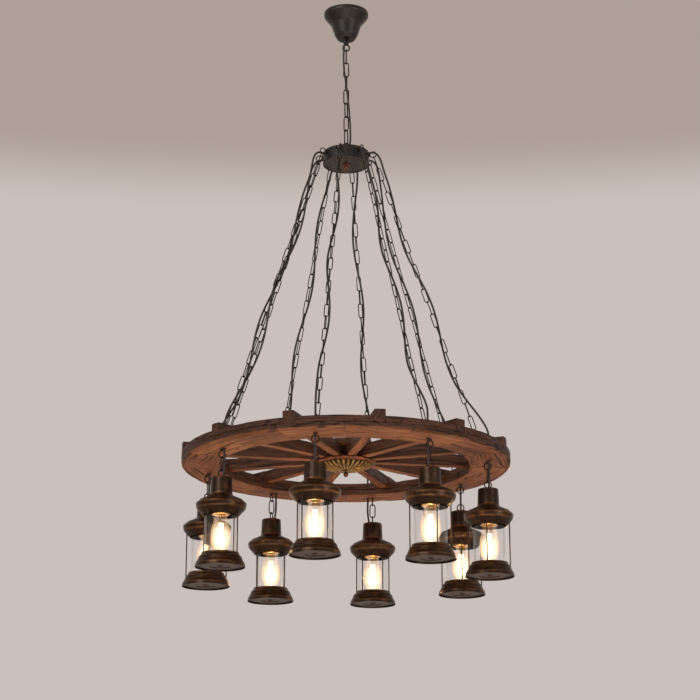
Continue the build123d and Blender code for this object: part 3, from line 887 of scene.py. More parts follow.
# ---------------------------------------------------------------- the sub-assemblies
@dataclass
class Arms:
    """The eight arms that the wheel hangs from, and where the lanterns hang under it."""

    hub_radial: float = 70.0
    hub_z: float = -403.0
    rim_radial: float = 330.0
    rim_z: float = -1178.5
    lantern_radial: float = 346.9
    cord_offset: float = 11.5

    def azimuth(self, number: int) -> float:
        """The azimuth of an arm."""
        return FIRST_ARM + ARM_STEP * number

    def lantern(self, number: int, height: float = 0.0) -> Vector:
        """A point on a lantern's axis."""
        return compass(self.azimuth(number)) * self.lantern_radial + Vector((0, 0, height))

    def axes(self, number: int) -> tuple[Vector, Vector, Vector]:
        """Sideways, square to the chain, and down the chain."""
        outwards = compass(self.azimuth(number))
        run = math.hypot(self.rim_radial - self.hub_radial, self.hub_z - self.rim_z)
        out = (self.rim_radial - self.hub_radial) / run
        fall = (self.hub_z - self.rim_z) / run
        down = outwards * out - Vector((0, 0, fall))
        return along_side(self.azimuth(number)), outwards * fall + Vector((0, 0, out)), down

    def start(self, number: int) -> Vector:
        """The middle of a hub eye."""
        return compass(self.azimuth(number)) * self.hub_radial + Vector((0, 0, self.hub_z))

    def run(self) -> float:
        """From a hub eye's middle to a rim eye's middle."""
        return math.hypot(self.rim_radial - self.hub_radial, self.hub_z - self.rim_z)


ARMS = Arms()


@dataclass
class Canopy:
    """The ceiling cup with its loop."""

    radius: float = 57.5
    floor_z: float = -74.0
    ring_z: float = -98.0
    ring_radius: float = 10.5
    ring_wire: float = 4.0

    def build(self) -> list[bpy.types.Object]:
        """Make the cup and the loop, and dress the hidden fittings."""
        outline = [
            (self.radius, 0), (self.radius, -9), (39.5, -32), (29, -64), (22, self.floor_z),
            (5.2, self.floor_z),
        ]
        cup = shell(outline, [6, 14, 12, 3], segments=96).piece("canopy_cup", BLACK)
        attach(cup, Body.CANOPY.value)
        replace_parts(cup, "canopy_shell")
        collar = [
            (0, self.floor_z - 0.2), (6.5, self.floor_z - 0.2), (6.5, -82), (5.2, -83.2), (6.5, -84.5),
            (6.5, -88.5),
        ]
        loop = turned([*collar, (0, -88.5)], [0.8, 0.5, 0.5, 0.5, 1.4], 40)
        ring = wire_ring(self.ring_radius, self.ring_wire, Vector((0, 1, 0)), 40)
        loop.join(
            ring.moved(Matrix.Translation((0, 0, self.ring_z)))
        ).join(rod(5.0, self.floor_z, -1.0))
        made = loop.piece("canopy_ring", BLACK)
        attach(made, Body.CANOPY.value)
        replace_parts(made, "canopy_loop")
        ZINC.dress(frame["nodes"]["ceiling_bracket"])
        PLASTIC.dress(frame["nodes"]["terminal_block"])
        return [cup, made]


@dataclass
class Drop:
    """The main chain, the feed cord and the ring that the hub turns on."""

    link_inside: float = 38.0
    link_width: float = 16.0
    wire: float = 3.3
    links: int = 7
    top_z: float = -102.55
    pitch: float = 37.7
    ring_z: float = -374.6
    collar_z: float = -390.7
    cord_radius: float = 2.5

    def build(self) -> list[bpy.types.Object]:
        """Make the chain, the hub's ring and the feed cord."""
        link = chain_link(self.link_inside, self.link_width, self.wire)
        lie = Matrix(((0, 1, 0), (1, 0, 0), (0, 0, -1)))
        first = Vector((0, 0, self.top_z - (self.link_inside + self.wire) / 2))
        chain = Repeat.piece(
            "main_chain", link, IRON, self.links, first, Vector(
                (0, 0, -self.pitch)
            ), lie, turn=97.0, play=4.0, seed=4
        )
        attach(chain, Body.DROP.value)
        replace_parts(chain, "drop_chain")
        collar = [(0, -384.0), (6.5, -384.0), (6.5, self.collar_z), (0, self.collar_z)]
        ring = turned(collar, [1.4, 0.6], 40)
        ring.join(
            wire_ring(10.5, 4.0, Vector((0, 1, 0)), 40).moved(Matrix.Translation((0, 0, self.ring_z)))
        )
        ring.join(rod(5.0, -403.0, self.collar_z))
        made = ring.piece("hub_ring", BLACK)
        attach(made, Body.DROP.value)
        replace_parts(made, "hub_loop")
        return [chain, made, self.feed_cord()]

    def feed_cord(self) -> bpy.types.Object:
        """The mains cord, wound once round the chain."""
        route = [
            Vector((-3, -7.6, -70)), Vector((-4, -10, -83)), Vector((-5, -12, -98)), Vector(
                (-7, -12.3, -124)
            ),
            Vector(
                (-6, -12.8, -163)
            ), Vector((0, -13.4, -207)), Vector((5, -13, -252)), Vector((9, -12, -296)),
            Vector((11, -11, -334)), Vector((11, -9.5, -362)), Vector(
                (8.5, -7.5, -382.5)
            ), Vector((5, -4.6, -388)),
        ]
        made = tube(spline_points(route, "feed"), self.cord_radius, 12).piece("feed_line", CORD)
        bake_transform(made)
        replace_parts(made, "feed_cord")
        return made


@dataclass
class Hub:
    """The canister that the eight chains start from."""

    radius: float = 59.0
    top_z: float = -391.0
    bottom_z: float = -425.3
    eye_radius: float = 9.5
    eye_wire: float = 2.8

    def build(self) -> list[bpy.types.Object]:
        """Make the canister, its plate, finial and eyes."""
        outline = [(5.1, self.top_z), (self.radius, self.top_z), (self.radius, self.bottom_z)]
        can = shell(outline, [5], segments=96)
        rib = [(self.radius, self.bottom_z + 4.2), (self.radius + 0.6, self.bottom_z + 3.6)]
        rib += [(self.radius + 0.6, self.bottom_z + 2.6), (self.radius, self.bottom_z + 2.0)]
        can.join(lathe([(r, z, 1.0) for r, z in rib], 96, closed=True))
        plate_z = self.bottom_z + 0.8
        plate = [
            (0, plate_z), (self.radius - 15, plate_z), (self.radius - 13, plate_z + 0.7),
            (self.radius - 4, plate_z),
        ]
        plate += [(self.radius - 1.3, plate_z), (self.radius - 1.3, plate_z + 1.4), (0, plate_z + 1.4)]
        finial = [
            (0, self.bottom_z - 11), (4.5, self.bottom_z - 11), (6, self.bottom_z - 5),
            (4, self.bottom_z - 2.5),
        ]
        finial += [(9, self.bottom_z - 1.5), (9, self.bottom_z + 0.8), (0, self.bottom_z + 0.8)]
        made = [
            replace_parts(can.piece("hub_can", BLACK), "hub_shell"),
            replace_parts(turned(plate, [0.8] * 5, 72).piece("hub_floor", PLATE), "hub_plate"),
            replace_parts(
                turned(finial, [2, 2, 0.8, 0.8, 0.4], 32).piece("hub_button", COPPER), "hub_finial",
            ),
        ]
        eye = wire_ring(self.eye_radius, self.eye_wire, Vector((0, 1, 0)))
        shank = rod(2.0, -15.0, -8.1).moved(Matrix.Rotation(math.radians(90), 4, "Y"))
        flange = rod(6.2, -11.0, -9.6).moved(Matrix.Rotation(math.radians(90), 4, "Y"))
        eye.join(shank).join(flange)
        eye = eye.moved(facing(FIRST_ARM, compass(FIRST_ARM) * ARMS.hub_radial))
        start = Vector((0, 0, ARMS.hub_z))
        eyes = Repeat.piece("hub_screw_eyes", eye, IRON, ARM_COUNT, start, turn=ARM_STEP)
        made.append(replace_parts(eyes, "hub_eyes"))
        for piece in made:
            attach(piece, Body.WHEEL.value)
        return made


@dataclass
class SideChains:
    """The eight chains from the hub to the rim, and the cords wound down them."""

    links: int = 23
    width: float = 12.5
    wire: float = 2.6
    gap: float = 0.3
    reach: float = 5.1
    cord_radius: float = 2.5
    wrap_radius: float = 8.8
    wrap_points: int = 14
    wrap_start: float = 128.0
    wrap_pitch: float = 42.0
    wheel_bottom: float = -1220.0
    cap_top: float = -67.4
    link_turn_z: float = -1237.2
    link_middle_z: float = -1253.0

    def build(self) -> list[bpy.types.Object]:
        """Make each arm's chain and cord."""
        span = ARMS.run() - 2 * self.reach
        inside = (span - self.wire + (self.links - 1) * self.gap) / self.links
        link = chain_link(inside, self.width, self.wire)
        made = []
        for number in range(ARM_COUNT):
            sideways, square, down = ARMS.axes(number)
            lie = Matrix((sideways, square, down)).transposed()
            start = ARMS.start(number) + down * (self.reach + (inside + self.wire) / 2)
            step = down * (inside - self.gap)
            chain = Repeat.piece(
                f"chain_{number + 1}", link, IRON, self.links, start, step, lie, play=7.0, seed=20 + number
            )
            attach(chain, Body.WHEEL.value)
            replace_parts(chain, "side_chains")
            made += [chain, *self.cord(number)]
        return made

    def route(self, number: int) -> list[Vector]:
        """A lantern cord's route: out of the hub, wound down the chain, and through the wheel."""
        sideways, square, down = ARMS.axes(number)
        outwards = compass(ARMS.azimuth(number))
        leave = (
            (60, -12, -403), (
                72, -12.5, -401.5,
            ), (84, -12.3, -408), (92.5, -11.3, -425), (99, -8.5, -452),
            (109.5, -1.5, -486),
        )
        route = [
            outwards * radial + sideways * aside + Vector((0, 0, height))
            for radial, aside, height in leave
        ]
        for k in range(self.wrap_points):
            turn = math.radians(30 + k * 45)
            middle = ARMS.start(number) + down * (self.wrap_start + self.wrap_pitch * k)
            route.append(
                middle + (square * math.cos(turn) + sideways * math.sin(turn)) * self.wrap_radius
            )
        away = compass(CORD_SIDES[number])
        hole = ARMS.lantern(number) + away * ARMS.cord_offset
        for height, shift in ((-1139, 2.5), (-1172, 0.5), (-1221, 0.0), (-1246, 1.2), (-1262, 0.8)):
            route.append(hole + away * shift + Vector((0, 0, height)))
        route.append(hole - away * 1.5 + Vector((0, 0, self.wheel_bottom + self.cap_top + 5)))
        route.append(hole - away * 4.5 + Vector((0, 0, self.wheel_bottom + self.cap_top - 0.5)))
        return route

    def cord(self, number: int) -> list[bpy.types.Object]:
        """One cord, in three pieces along the wheel, the link and the lantern; only the first rides on a body, the
        wheel.
        """
        points = spline_points(self.route(number), f"cord_{number + 1}")
        turn = min(range(len(points)), key=lambda i: abs(points[i].z - self.link_turn_z + 2))
        swing = min(range(len(points)), key=lambda i: abs(points[i].z - self.link_middle_z))
        top = tube(points[:turn + 1], self.cord_radius, 10).piece(f"cord_{number + 1}_long", CORD)
        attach(top, Body.WHEEL.value)
        upper = tube(
            points[turn:swing + 1], self.cord_radius, 10,
        ).piece(f"cord_{number + 1}_bend", CORD)
        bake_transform(upper)
        lower = tube(points[swing:], self.cord_radius, 10).piece(f"cord_{number + 1}_tail", CORD)
        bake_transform(lower)
        for piece in (top, upper, lower):
            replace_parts(piece, "lantern_cords")
        return [top, upper, lower]


@dataclass
class Wheel:
    """The wooden wheel: two plies of felloes, twelve let-in spokes and the middle block."""

    bottom: float = -1220.0
    ply: float = 15.0
    radius: float = 400.0
    inner: float = 302.0
    felloes: int = 16
    first_joint: float = 22.0
    spokes: int = 12
    first_spoke: float = 11.0
    spoke_width: float = 23.0
    head_width: float = 28.0
    spoke_height: float = 30.0
    root: float = 48.0
    roughness: float = 0.55
    chisel: float = 0.9

    def build(self) -> list[bpy.types.Object]:
        """Make every plank of the wheel and its eyes."""
        low, middle, top = self.bottom, self.bottom + self.ply, self.bottom + 2 * self.ply
        made = []
        span = 360.0 / self.felloes
        for k in range(self.felloes):
            start = self.first_joint + k * span
            sides = (lambda r, a=start: a + 0.05, lambda r, a=start + span: a - 0.05)
            section = self.section(self.inner, self.radius, low, middle - 0.1, (1.6, 8.0, 1.2, 1.2))
            plank = self.felloe(section, sides, start + span / 2, 17.3 * k + 3.1, steps=18)
            made.append(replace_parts(plank.piece(f"felloe_low_{k + 1}", WOOD), "rim_lower_ply"))
        span = 360.0 / self.spokes
        half = self.head_width / 2 + 0.25
        for k in range(self.spokes):
            start = self.first_spoke + k * span
            sides = (
                lambda r, a=start: a + math.degrees(math.asin(half / r)),
                lambda r, a=start + span: a - math.degrees(math.asin(half / r)),
            )
            section = self.section(self.inner, self.radius, middle + 0.1, top, (0.8, 0.8, 2.4, 1.6))
            plank = self.felloe(section, sides, start + span / 2, 11.9 * k + 71.7)
            made.append(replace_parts(plank.piece(f"felloe_top_{k + 1}", WOOD), "rim_upper_ply"))
            made.append(
                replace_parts(self.spoke(start, 7.7 * k + 151.3).piece(f"spoke_{k + 1}", WOOD), "spokes")
            )
        made.append(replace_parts(self.block().piece("middle_block", WOOD), "centre_block"))
        made.append(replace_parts(self.eyes(), "wheel_eyes"))
        for piece in made:
            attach(piece, Body.WHEEL.value)
        return made

    def section(
        self, left: float, right: float, low: float, high: float, corners: tuple[
            float, float, float, float,
        ],
        step: float = 7.0,
    ) -> list[tuple[float, float, float]]:
        """A plank's cross-section, with eased corners and its sides cut into short runs.

        Args:
            left: The lowest sideways value.
            right: The highest sideways value.
            low: The bottom height.
            high: The top height.
            corners: The radii at the lower left, lower right, upper right and upper left corners.
            step: The longest run.

        Returns:
            The closed row of points, as (sideways, height, wear).
        """
        spots = ((left, low, 1, 1), (right, low, -1, 1), (right, high, -1, -1), (left, high, 1, -1))
        row: list[tuple[float, float, float]] = []
        for corner, ((x, z, inx, inz), size) in enumerate(zip(spots, corners)):
            for k in range(5):
                turn = math.radians(180 + 90 * corner + 22.5 * k)
                place = (
                    x + inx * size + size * math.cos(turn), z + inz * size + size * math.sin(turn), 1.0,
                )
                if row and k == 0:
                    last = row[-1]
                    count = int(math.dist(last[:2], place[:2]) // step)
                    for i in range(1, count + 1):
                        share = i / (count + 1)
                        row.append(
                            (last[0] + (place[0] - last[0]) * share, last[1] + (place[1] - last[1]) * share, 0.0)
                        )
                row.append(place)
        last, place = row[-1], row[0]
        count = int(math.dist(last[:2], place[:2]) // step)
        for i in range(1, count + 1):
            share = i / (count + 1)
            row.append(
                (last[0] + (place[0] - last[0]) * share, last[1] + (place[1] - last[1]) * share, 0.0)
            )
        return row

    def carve(self, point: Vector, grain: Vector, inward: Vector, wear: float) -> Vector:
        """Move a point in by what the tools and the years took off.

        Args:
            point: The point on the sharp plank.
            grain: Its place along, across and up the plank.
            inward: The way into the plank.
            wear: 1 at a corner and 0 on a face.

        Returns:
            The moved point.
        """
        wave = noise.noise(
            Vector((grain.x * 0.014, grain.y * 0.05, grain.z * 0.05)) + Vector((3.3, 0, 0))
        )
        nick = max(noise.noise(Vector((grain.x * 0.05, grain.y * 0.11, grain.z * 0.11))) - 0.15, 0.0)
        depth = self.roughness * (0.5 + wave) + nick * (1.2 + 3.2 * wear) * self.chisel
        return point + inward * depth

    def lofted(self, rows: list[list[Vector]], grains: list[list[Vector]], wears: list[float]) -> Shape:
        """Skin a plank's rows of points and close its two ends."""
        made = Shape()
        laid = []
        for row, grain in zip(rows, grains):
            middle = sum(row, Vector()) / len(row)
            carved = []
            for i, (point, place) in enumerate(zip(row, grain)):
                tangent = row[(i + 1) % len(row)] - row[i - 1]
                axis = (rows[-1][i] - rows[0][i]).normalized()
                inward = tangent.cross(axis).normalized()
                if inward.dot(middle - point) < 0:
                    inward = -inward
                carved.append(self.carve(point, place, inward, wears[i]))
            indices = made.ring(carved, [w * 0.8 for w in wears])
            for index, place in zip(indices, grain):
                made.grain[index] = place * MM
            laid.append(indices)
        for first, second in zip(laid, laid[1:]):
            made.bridge(first, second)
        made.faces.append(tuple(reversed(laid[0])))
        made.faces.append(tuple(laid[-1]))
        return made

    def felloe(
        self, section: list[tuple[float, float, float]], sides: tuple[Callable[[float], float], ...],
        middle: float, seed: float, steps: int = 34,
    ) -> Shape:
        """One curved plank of the rim.

        Args:
            section: Its cross-section, as (radius, height, wear).
            sides: The azimuth of each end at a radius.
            middle: The azimuth that the plank's straight grain is square to.
            seed: Where in the wood the plank was cut.
            steps: The number of stations along it.
        """
        out, along = compass(middle), along_side(middle)
        rows, grains = [], []
        for k in range(steps + 1):
            share = k / steps
            row, grain = [], []
            for radius, height, _ in section:
                azimuth = sides[0](radius) * (1 - share) + sides[1](radius) * share
                point = compass(azimuth) * radius + Vector((0, 0, height))
                row.append(point)
                lean = 0.10 * math.sin(seed)
                run, across = point.dot(along), point.dot(out)
                grain.append(
                    Vector((run + across * lean + seed * 100, across - run * lean, height + seed * 31))
                )
            rows.append(row)
            grains.append(grain)
        return self.lofted(rows, grains, [w for _, _, w in section])

    def spoke(self, azimuth: float, seed: float) -> Shape:
        """One spoke, with its wider head let into the rim."""
        low = self.bottom + self.ply
        section = self.section(-self.spoke_width / 2, self.spoke_width / 2, low + 0.15, low + self.spoke_height,
                               (1.5, 1.5, 1.8, 1.8), 6.0)
        reaches = [self.root + (self.inner - 1 - self.root) * k / 32 for k in range(33)]
        heads = [self.inner + 0.4 + (self.radius - self.inner - 0.4) * k / 10 for k in range(11)]
        widen = self.head_width / self.spoke_width
        out, aside = compass(azimuth), along_side(azimuth)
        rows, grains = [], []
        for reach, factor in [(r, 1.0) for r in reaches] + [(r, widen) for r in heads]:
            row, grain = [], []
            for across, height, _ in section:
                side = across * factor
                share = max(reach - self.inner, 0.0) / (self.radius - self.inner)
                bow = (self.radius - math.sqrt(self.radius ** 2 - side ** 2)) * share
                row.append(out * (reach - bow) + aside * side + Vector((0, 0, height)))
                grain.append(Vector((reach + seed * 100, side + seed * 9, height + seed * 31)))
            rows.append(row)
            grains.append(grain)
        return self.lofted(rows, grains, [w for _, _, w in section])

    def block(self) -> Shape:
        """The twelve-sided plate over the spokes and the round core between them."""
        top = self.bottom + self.ply + self.spoke_height
        made = Shape()
        levels = (
            (0.0, 0.0), (76.0, 0.0), (76.0, 11.0), (75.1, 13.1), (73.0, 14.0), (40.0, 14.0), (0.0, 14.0),
        )
        rows = []
        for radius, height in levels:
            corners = [compass(90 + self.first_spoke + 30.0 * k) * radius for k in range(self.spokes)]
            row = []
            for a, b in zip(corners, corners[1:] + corners[:1]):
                row += [a.lerp(b, i / 4) + Vector((0, 0, top + height)) for i in range(4)]
            indices = made.ring(row, [1.0 if 11 < height < 14 else 0.0] * len(row))
            for index in indices:
                made.grain[index] = (made.points[index] + Vector((900, 40, 7))) * MM
            rows.append(indices)
        for first, second in zip(rows, rows[1:]):
            made.bridge(first, second)
        core = rod(self.root - 0.8, self.bottom + self.ply, top - 0.2)
        for index, point in enumerate(core.points):
            core.grain[index] = (point + Vector((1700, 90, 0))) * MM
        return made.join(core)

    def eyes(self) -> bpy.types.Object:
        """The screw eyes on the rim and, turned to each lantern's cord, those under it."""
        rim = wire_ring(9.5, 2.8, Vector((0, 1, 0)))
        rim.join(rod(2.0, -31.0, -8.1)).join(rod(5.0, -11.5, -10.0, 0.6))
        hang = wire_ring(10.0, 3.0, Vector((1, 0, 0)))
        hang.join(rod(2.0, 8.5, 32.0)).join(rod(6.0, 10.5, 12.0, 0.6))
        made = Shape()
        for number in range(ARM_COUNT):
            azimuth = ARMS.azimuth(number)
            top = compass(azimuth) * ARMS.rim_radial + Vector((0, 0, ARMS.rim_z))
            made.join(rim.moved(facing(azimuth, top)))
            made.join(hang.moved(facing(CORD_SIDES[number], ARMS.lantern(number, self.bottom - 12.0))))
            away = compass(CORD_SIDES[number])
            hole = ARMS.lantern(number, self.bottom) + away * ARMS.cord_offset
            grommet = lathe(
                [(2.7, -1.4, 1.0), (4.6, -1.4, 1.0), (5.4, -0.2, 0.3), (5.4, 1.2, 0), (2.7, 1.2, 0)],
                20, True,
            )
            made.join(grommet.moved(Matrix.Translation(hole)))
        return made.piece("screw_eyes", IRON)


@dataclass
class Rosette:
    """The fluted brass rose under the wheel's middle."""

    top: float = -1205.0
    brim: float = 73.5
    flutes: int = 30

    def build(self) -> list[bpy.types.Object]:
        """Make the brim, the dome, its flutes and the finial."""
        top = self.top
        brim = shell([(self.brim, top), (self.brim, top - 5), (60, top - 5)], [3], 1.6, 96)
        bead = lathe([(r, z, 1.0) for r, z in (
            (
                67.4, top - 5.0,
            ), (67.0, top - 6.4), (65.9, top - 7.1), (64.7, top - 6.8), (64.0, top - 5.6), (64.6, top - 4.9)
        )], 96, True)
        profile = [(64, top - 6.0), (52, top - 13.6), (24, top - 19.6), (3.1, top - 20.4)]
        dome = shell(profile, [16, 30], 1.0, 96)
        flute = self.flute(top)
        parts = [
            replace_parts(brim.join(bead).piece("rose_brim", COPPER), "rosette"),
            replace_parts(dome.piece("rose_dome", SLOTTED), "rosette"),
            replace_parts(Repeat.piece(
                "rose_flutes", flute, BRASS, self.flutes, Vector((0, 0, 0)), turn=360.0 / self.flutes
            ), "rosette"),
            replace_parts(self.boss(top).piece("rose_boss", BRASS), "rosette"),
            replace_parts(self.finial(top).piece("rose_finial", COPPER), "rosette_finial"),
        ]
        for piece in parts:
            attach(piece, Body.WHEEL.value)
        return parts

    def flute(self, top: float) -> Shape:
        """One raised rib of the dome, from the boss to the brim."""
        stations = ((20, 20.3, 1.1), (27, 19.7, 1.7), (36, 17.9, 2.5), (46, 15.7, 3.2), (54, 12.9, 3.7), (60, 9.2, 3.8),
                    (62.5, 7.4, 3.0))
        made = Shape()
        rows = []
        for radius, depth, half in stations:
            row = [Vector((radius, half * math.cos(t), top - depth - 0.4 - 1.3 * math.sin(t)))
                   for t in [math.pi * k / 6 for k in range(7)]]
            row.append(Vector((radius, 0, top - depth + 1.0)))
            rows.append(made.ring(row, [0.0, 0.2, 0.7, 1.0, 0.7, 0.2, 0.0, 0.0]))
        for first, second in zip(rows, rows[1:]):
            made.bridge(first, second)
        made.faces += [tuple(reversed(rows[0])), tuple(rows[-1])]
        return made

    def boss(self, top: float) -> Shape:
        """The stepped button that the flutes run into."""
        outline = [
            (0, top - 19.5), (20.5, top - 19.5), (21.5, top - 21.0), (17.5, top - 22.2),
            (16, top - 21.4),
        ]
        outline += [(11, top - 22.8), (7, top - 24.2), (0, top - 24.2)]
        return turned(outline, [0.5, 0.9, 0.9, 0.5, 1.0, 0.6], 48)

    def finial(self, top: float) -> Shape:
        """The ball on its rod, and the cap nut over the block."""
        ball = top - 31.0
        outline = [(0, ball - 6.25)]
        outline += [
            (6.25 * math.cos(math.radians(a)), ball + 6.25 * math.sin(math.radians(a)))
            for a in range(-75, 66, 14)
        ]
        outline += [(3.2, ball + 7.2), (4.4, ball + 7.9), (3.0, ball + 8.6), (0, ball + 8.6)]
        made = lathe([(r, z, 0.5) for r, z in outline], 32)
        block_top = top + 44.0
        made.join(rod(3.0, ball + 6, block_top + 8))
        nut = [
            (0, block_top), (7.2, block_top), (7.2, block_top + 4.4), (6.2, block_top + 5),
            (0, block_top + 5),
        ]
        return made.join(lathe([(r, z, 0.6) for r, z in nut], 6))


@dataclass
class Lantern:
    """One lantern with its link, about its own hanging axis."""

    number: int
    bottom: float = -1220.0
    cap_top: float = -67.4
    glass_radius: float = 38.0
    glass_wall: float = 2.0
    glass_top: float = -140.0
    glass_seat: float = -252.0
    guard_radius: float = 49.0
    guard_wire: float = 3.0
    lamp_radius: float = 23.0
    lamp_bottom: float = -243.0
    strands: int = 8

    def build(self) -> list[bpy.types.Object]:
        """Make every piece of the lantern and its link."""
        body, link_body = f"lantern_{self.number}", f"link_{self.number}"
        place = facing(CORD_SIDES[self.number - 1], ARMS.lantern(self.number - 1, self.bottom))
        made = []

        def add(shape: Shape, part: str, finish: Finish, *nodes: str) -> None:
            """Place a shape on this lantern and let it stand for its nodes."""
            piece = shape.moved(place).piece(f"lantern_{self.number}_{part}", finish)
            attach(piece, body)
            if nodes:
                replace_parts(piece, *[f"lantern_{self.number}_{node}" for node in nodes])
            made.append(piece)

        link = chain_link(32.0, 16.0, 3.0).moved(Matrix.Translation((0, 0, -34.7)))
        hung = link.moved(place).piece(f"lantern_{self.number}_hook_link", IRON)
        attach(hung, link_body)
        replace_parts(hung, f"lantern_{self.number}_link")
        made.append(hung)
        add(self.cap_ring(), "cap_ring", IRON, "shade")
        add(self.shade(), "hood", BRONZE, "shade")
        add(self.chimney(), "chimney", GLASS, "glass")
        add(self.base(), "base", BRONZE, "cage")
        add(self.floor(), "base_floor", BRONZE, "cage")
        add(self.holder(), "holder", SOCKET, "lamp")
        add(self.bulb(), "bulb", LAMP, "lamp")
        add(self.filament(), "filament", HOT_WIRE)
        add(self.mount(), "stem", GLASS)
        wire = rod(self.guard_wire / 2, -261.0, -148.0, 0.3)
        wire = wire.moved(
            Matrix.Translation(compass(FIRST_GUARDS[self.number - 1]) * self.guard_radius)
        )
        guards = Repeat.piece(
            f"lantern_{self.number}_guards", wire, BRONZE, 4, ARMS.lantern(self.number - 1, self.bottom)
        )
        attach(guards, body)
        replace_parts(guards, f"lantern_{self.number}_cage")
        made.append(guards)
        return made

    def cap_ring(self) -> Shape:
        """The ring on the cap, with its stem and the nut under it."""
        ring = wire_ring(10.0, 3.0, Vector((1, 0, 0)), 30).moved(Matrix.Translation((0, 0, -57.4)))
        washer = turned(
            [(0, -68.0), (7.5, -68.0), (7.5, -67.0), (5.2, -66.0), (0, -66.0)], [0.3, 0.5, 0.5], 28,
        )
        return ring.join(washer).join(rod(4.0, self.cap_top - 14, -66.4))

    def shade(self) -> Shape:
        """The spun cap, neck and shoulder, with a bead pressed round the shoulder."""
        outline = [
            (4.0, -67.4), (24.3, -67.4), (26.0, -110.0), (47.0, -120.6), (50.0, -121.4), (51.5, -123.8),
        ]
        outline += [(59.5, -130.0), (57.0, -142.0), (42.0, -158.0)]
        return shell(outline, [3.0, 7.0, 2.0, 1.2, 2.0, 4.0, 7.0], segments=64)

    def chimney(self) -> Shape:
        """The glass tube, with ground rims."""
        outer, inner = self.glass_radius, self.glass_radius - self.glass_wall
        rim = 0.7
        loop = [
            (outer, self.glass_seat + rim), (outer, self.glass_top - rim), (outer - rim, self.glass_top),
        ]
        loop += [
            (inner + rim, self.glass_top), (inner, self.glass_top - rim), (inner, self.glass_seat + rim),
        ]
        loop += [(inner + rim, self.glass_seat), (outer - rim, self.glass_seat)]
        return lathe([(r, z, 0.0) for r, z in loop], 64, closed=True)

    def base(self) -> Shape:
        """The flared base with its two pressed ridges."""
        outline = [
            (43.6, -246.0), (43.8, -249.5), (50.0, -255.5), (52.2, -262.5), (57.4, -271.5),
            (58.4, -278.6),
        ]
        return shell(outline, [3.0, 4.5, 5.0, 6.0], segments=64)

    def floor(self) -> Shape:
        """The stepped underside of the base, and the seat that holds the chimney."""
        low = -276.6
        outline = [
            (0, low - 0.6), (7.0, low - 0.6), (8.5, low + 0.6), (24.0, low + 1.4), (26.0, low - 0.2),
        ]
        outline += [
            (44.0, low + 0.2), (46.0, low + 2.0), (57.2, low + 1.2), (57.2, low + 2.4), (0, low + 3.4),
        ]
        made = turned(outline, [0.8, 0.8, 0.9, 0.9, 0.9, 0.9, 0.5, 0.5], 64)
        button = turned(
            [(0, low - 1.8), (3.4, low - 1.8), (4.4, low - 0.4), (0, low - 0.2)], [0.8, 0.3], 24,
        )
        seat = turned([(0, -253.2), (42.3, -253.2), (42.3, -252.1), (0, -252.1)], [0.2, 0.2], 48)
        return made.join(button).join(seat)

    def holder(self) -> Shape:
        """The brass lampholder with its knurled skirt."""
        top = self.cap_top - 14
        outline = [
            (0, top), (14, top), (14, -96), (20, -102), (20, -122), (20.6, -123), (20.6, -126),
            (20, -127),
        ]
        outline += [
            (20, -151), (20.8, -152), (20.8, -155), (19.6, -156), (13.4, -156), (13.4, -130), (0, -130),
        ]
        return turned(outline, [2, 2, 3, 0.3, 0.3, 0.3, 0.3, 0.3, 0.3, 0.3, 0.4, 0.4, 0.3], 48)

    def bulb(self) -> Shape:
        """The lamp's glass, a long pear with a rounded end."""
        radius, low = self.lamp_radius, self.lamp_bottom
        outline = [
            (0, -131), (12.6, -131), (12.6, -160), (radius, -192), (radius, -222), (11, low), (0, low),
        ]
        return turned(outline, [1, 16, 34, 20, 11], 48)

    def mount(self) -> Shape:
        """The glass stem that carries the filament inside the lamp."""
        outline = [(0, -150), (5.5, -150), (3.0, -160), (2.6, -176), (3.6, -179), (0, -180)]
        return turned(outline, [1, 3, 2, 1], 20)

    def filament(self) -> Shape:
        """A cage of wire strands, strung up and down round the stem."""
        path = []
        for k in range(self.strands):
            azimuth = 360.0 * k / self.strands
            ends = ((5.0, -176.0), (8.2, -226.0)) if k % 2 == 0 else ((8.2, -226.0), (5.0, -176.0))
            for radius, height in ends:
                path.append(compass(azimuth) * radius + Vector((0, 0, height)))
        return tube(path, 0.45, 6)


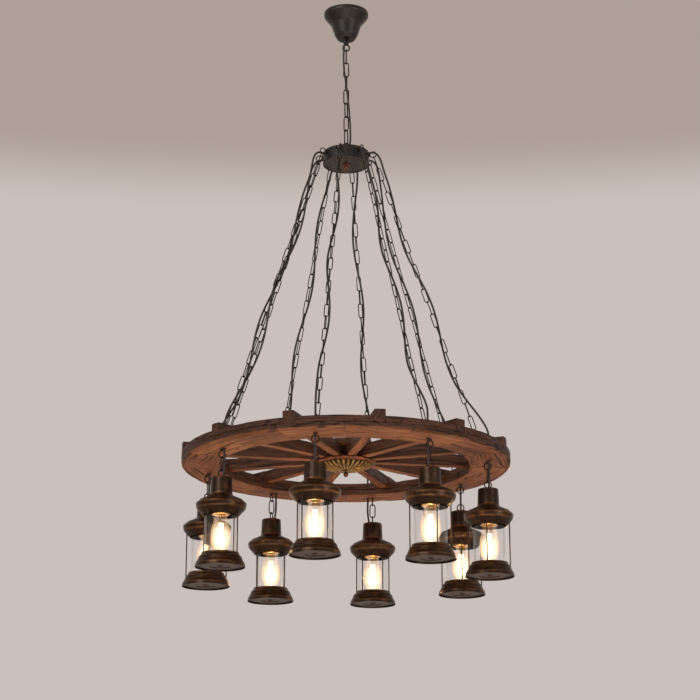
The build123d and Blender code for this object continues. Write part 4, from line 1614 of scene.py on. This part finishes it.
@dataclass
class Studio:
    """The camera, the soft light and the pale floor."""

    eye: tuple[float, float, float] = (0.0, -4.5502, -2.2913)
    rise: float = 16.779
    swing: float = 0.125
    lens: float = 98.52
    floor_z: float = -2.75
    floor_reach: float = 40.0
    floor_colour: Colour = (0.84, 0.785, 0.74)
    low_air: Colour = (0.597, 0.527, 0.497)
    high_air: Colour = (0.423, 0.352, 0.314)
    lamp_watts: float = 0.9

    def build(self) -> None:
        """Set up everything that is not part of the chandelier."""
        bpy.context.scene.view_settings.view_transform = "Standard"
        lens = bpy.data.cameras.new("camera")
        lens.lens = self.lens
        lens.sensor_width = 36.0
        camera = bpy.data.objects.new("camera", lens)
        camera.location = self.eye
        camera.rotation_euler = (math.radians(90 + self.rise), 0, math.radians(-self.swing))
        bpy.context.scene.collection.objects.link(camera)
        bpy.context.scene.camera = camera
        self.air()
        self.floor()
        self.soft_light("key", (-2.2, -3.4, 0.4), (0.0, 0.0, -1.1), 2.4, 62.0, (1.0, 0.965, 0.93))
        self.soft_light("fill", (2.8, -2.6, -1.4), (0.0, 0.0, -1.2), 1.8, 34.0, (1.0, 0.95, 0.90))
        self.soft_light("under", (0.0, -1.6, -2.68), (0.0, 0.0, -1.2), 1.6, 20.0, (1.0, 0.90, 0.78))
        for number in range(ARM_COUNT):
            glow = bpy.data.lights.new(f"lamp_light_{number + 1}", "POINT")
            glow.energy = self.lamp_watts
            glow.color = (1.0, 0.60, 0.27)
            glow.shadow_soft_size = 0.012
            holder = bpy.data.objects.new(glow.name, glow)
            holder.location = ARMS.lantern(number, -1220.0 - 208.0) * MM
            bpy.context.scene.collection.objects.link(holder)

    def air(self) -> None:
        """A plain warm backdrop of light, darker above."""
        world = bpy.data.worlds.new("air")
        bpy.context.scene.world = world
        world.use_nodes = True
        graph = Graph(world.node_tree)
        heading = graph.add("ShaderNodeTexCoord", out="Generated")
        height = graph.add("ShaderNodeSeparateXYZ", {"Vector": heading}, out="Z")
        colour = graph.blend(height.between(0.355, 0.392), self.low_air, self.high_air)
        backdrop = world.node_tree.nodes["Background"]
        graph.tree.links.new(colour.socket, backdrop.inputs["Color"])
        backdrop.inputs["Strength"].default_value = 1.0

    def floor(self) -> None:
        """A wide pale floor far below."""
        mesh = bpy.data.meshes.new("floor")
        reach = self.floor_reach
        corners = [(-reach, -reach), (reach, -reach), (reach, reach), (-reach, reach)]
        mesh.from_pydata([(x, y, self.floor_z) for x, y in corners], [], [(0, 1, 2, 3)])
        floor = bpy.data.objects.new("floor", mesh)
        bpy.context.scene.collection.objects.link(floor)
        paint = bpy.data.materials.new("floor_paint")
        paint.use_nodes = True
        shader = paint.node_tree.nodes["Principled BSDF"]
        shader.inputs["Base Color"].default_value = (*self.floor_colour, 1.0)
        shader.inputs["Roughness"].default_value = 0.85
        mesh.materials.append(paint)

    def soft_light(
        self, name: str, place: tuple[
            float, float, float,
        ], aim: tuple[float, float, float], size: float, watts: float,
        colour: Colour,
    ) -> None:
        """Add one large square light that looks at a point."""
        light = bpy.data.lights.new(name, "AREA")
        light.shape = "SQUARE"
        light.size = size
        light.energy = watts
        light.color = colour
        holder = bpy.data.objects.new(name, light)
        holder.location = place
        holder.rotation_euler = (Vector(aim) - Vector(place)).to_track_quat("-Z", "Y").to_euler()
        bpy.context.scene.collection.objects.link(holder)


def main() -> None:
    """Build the chandelier from the ceiling down."""
    logging.basicConfig(level=logging.INFO, format="%(name)s: %(message)s")
    Studio().build()
    parts = [Canopy(), Drop(), Hub(), SideChains(), Wheel(), Rosette()]
    parts += [Lantern(number) for number in range(1, ARM_COUNT + 1)]
    for part in parts:
        for piece in part.build():
            LOG.info("%s: %s has %d faces", type(part).__name__, piece.name, len(piece.data.polygons))


if __name__ == "__main__":
    main()
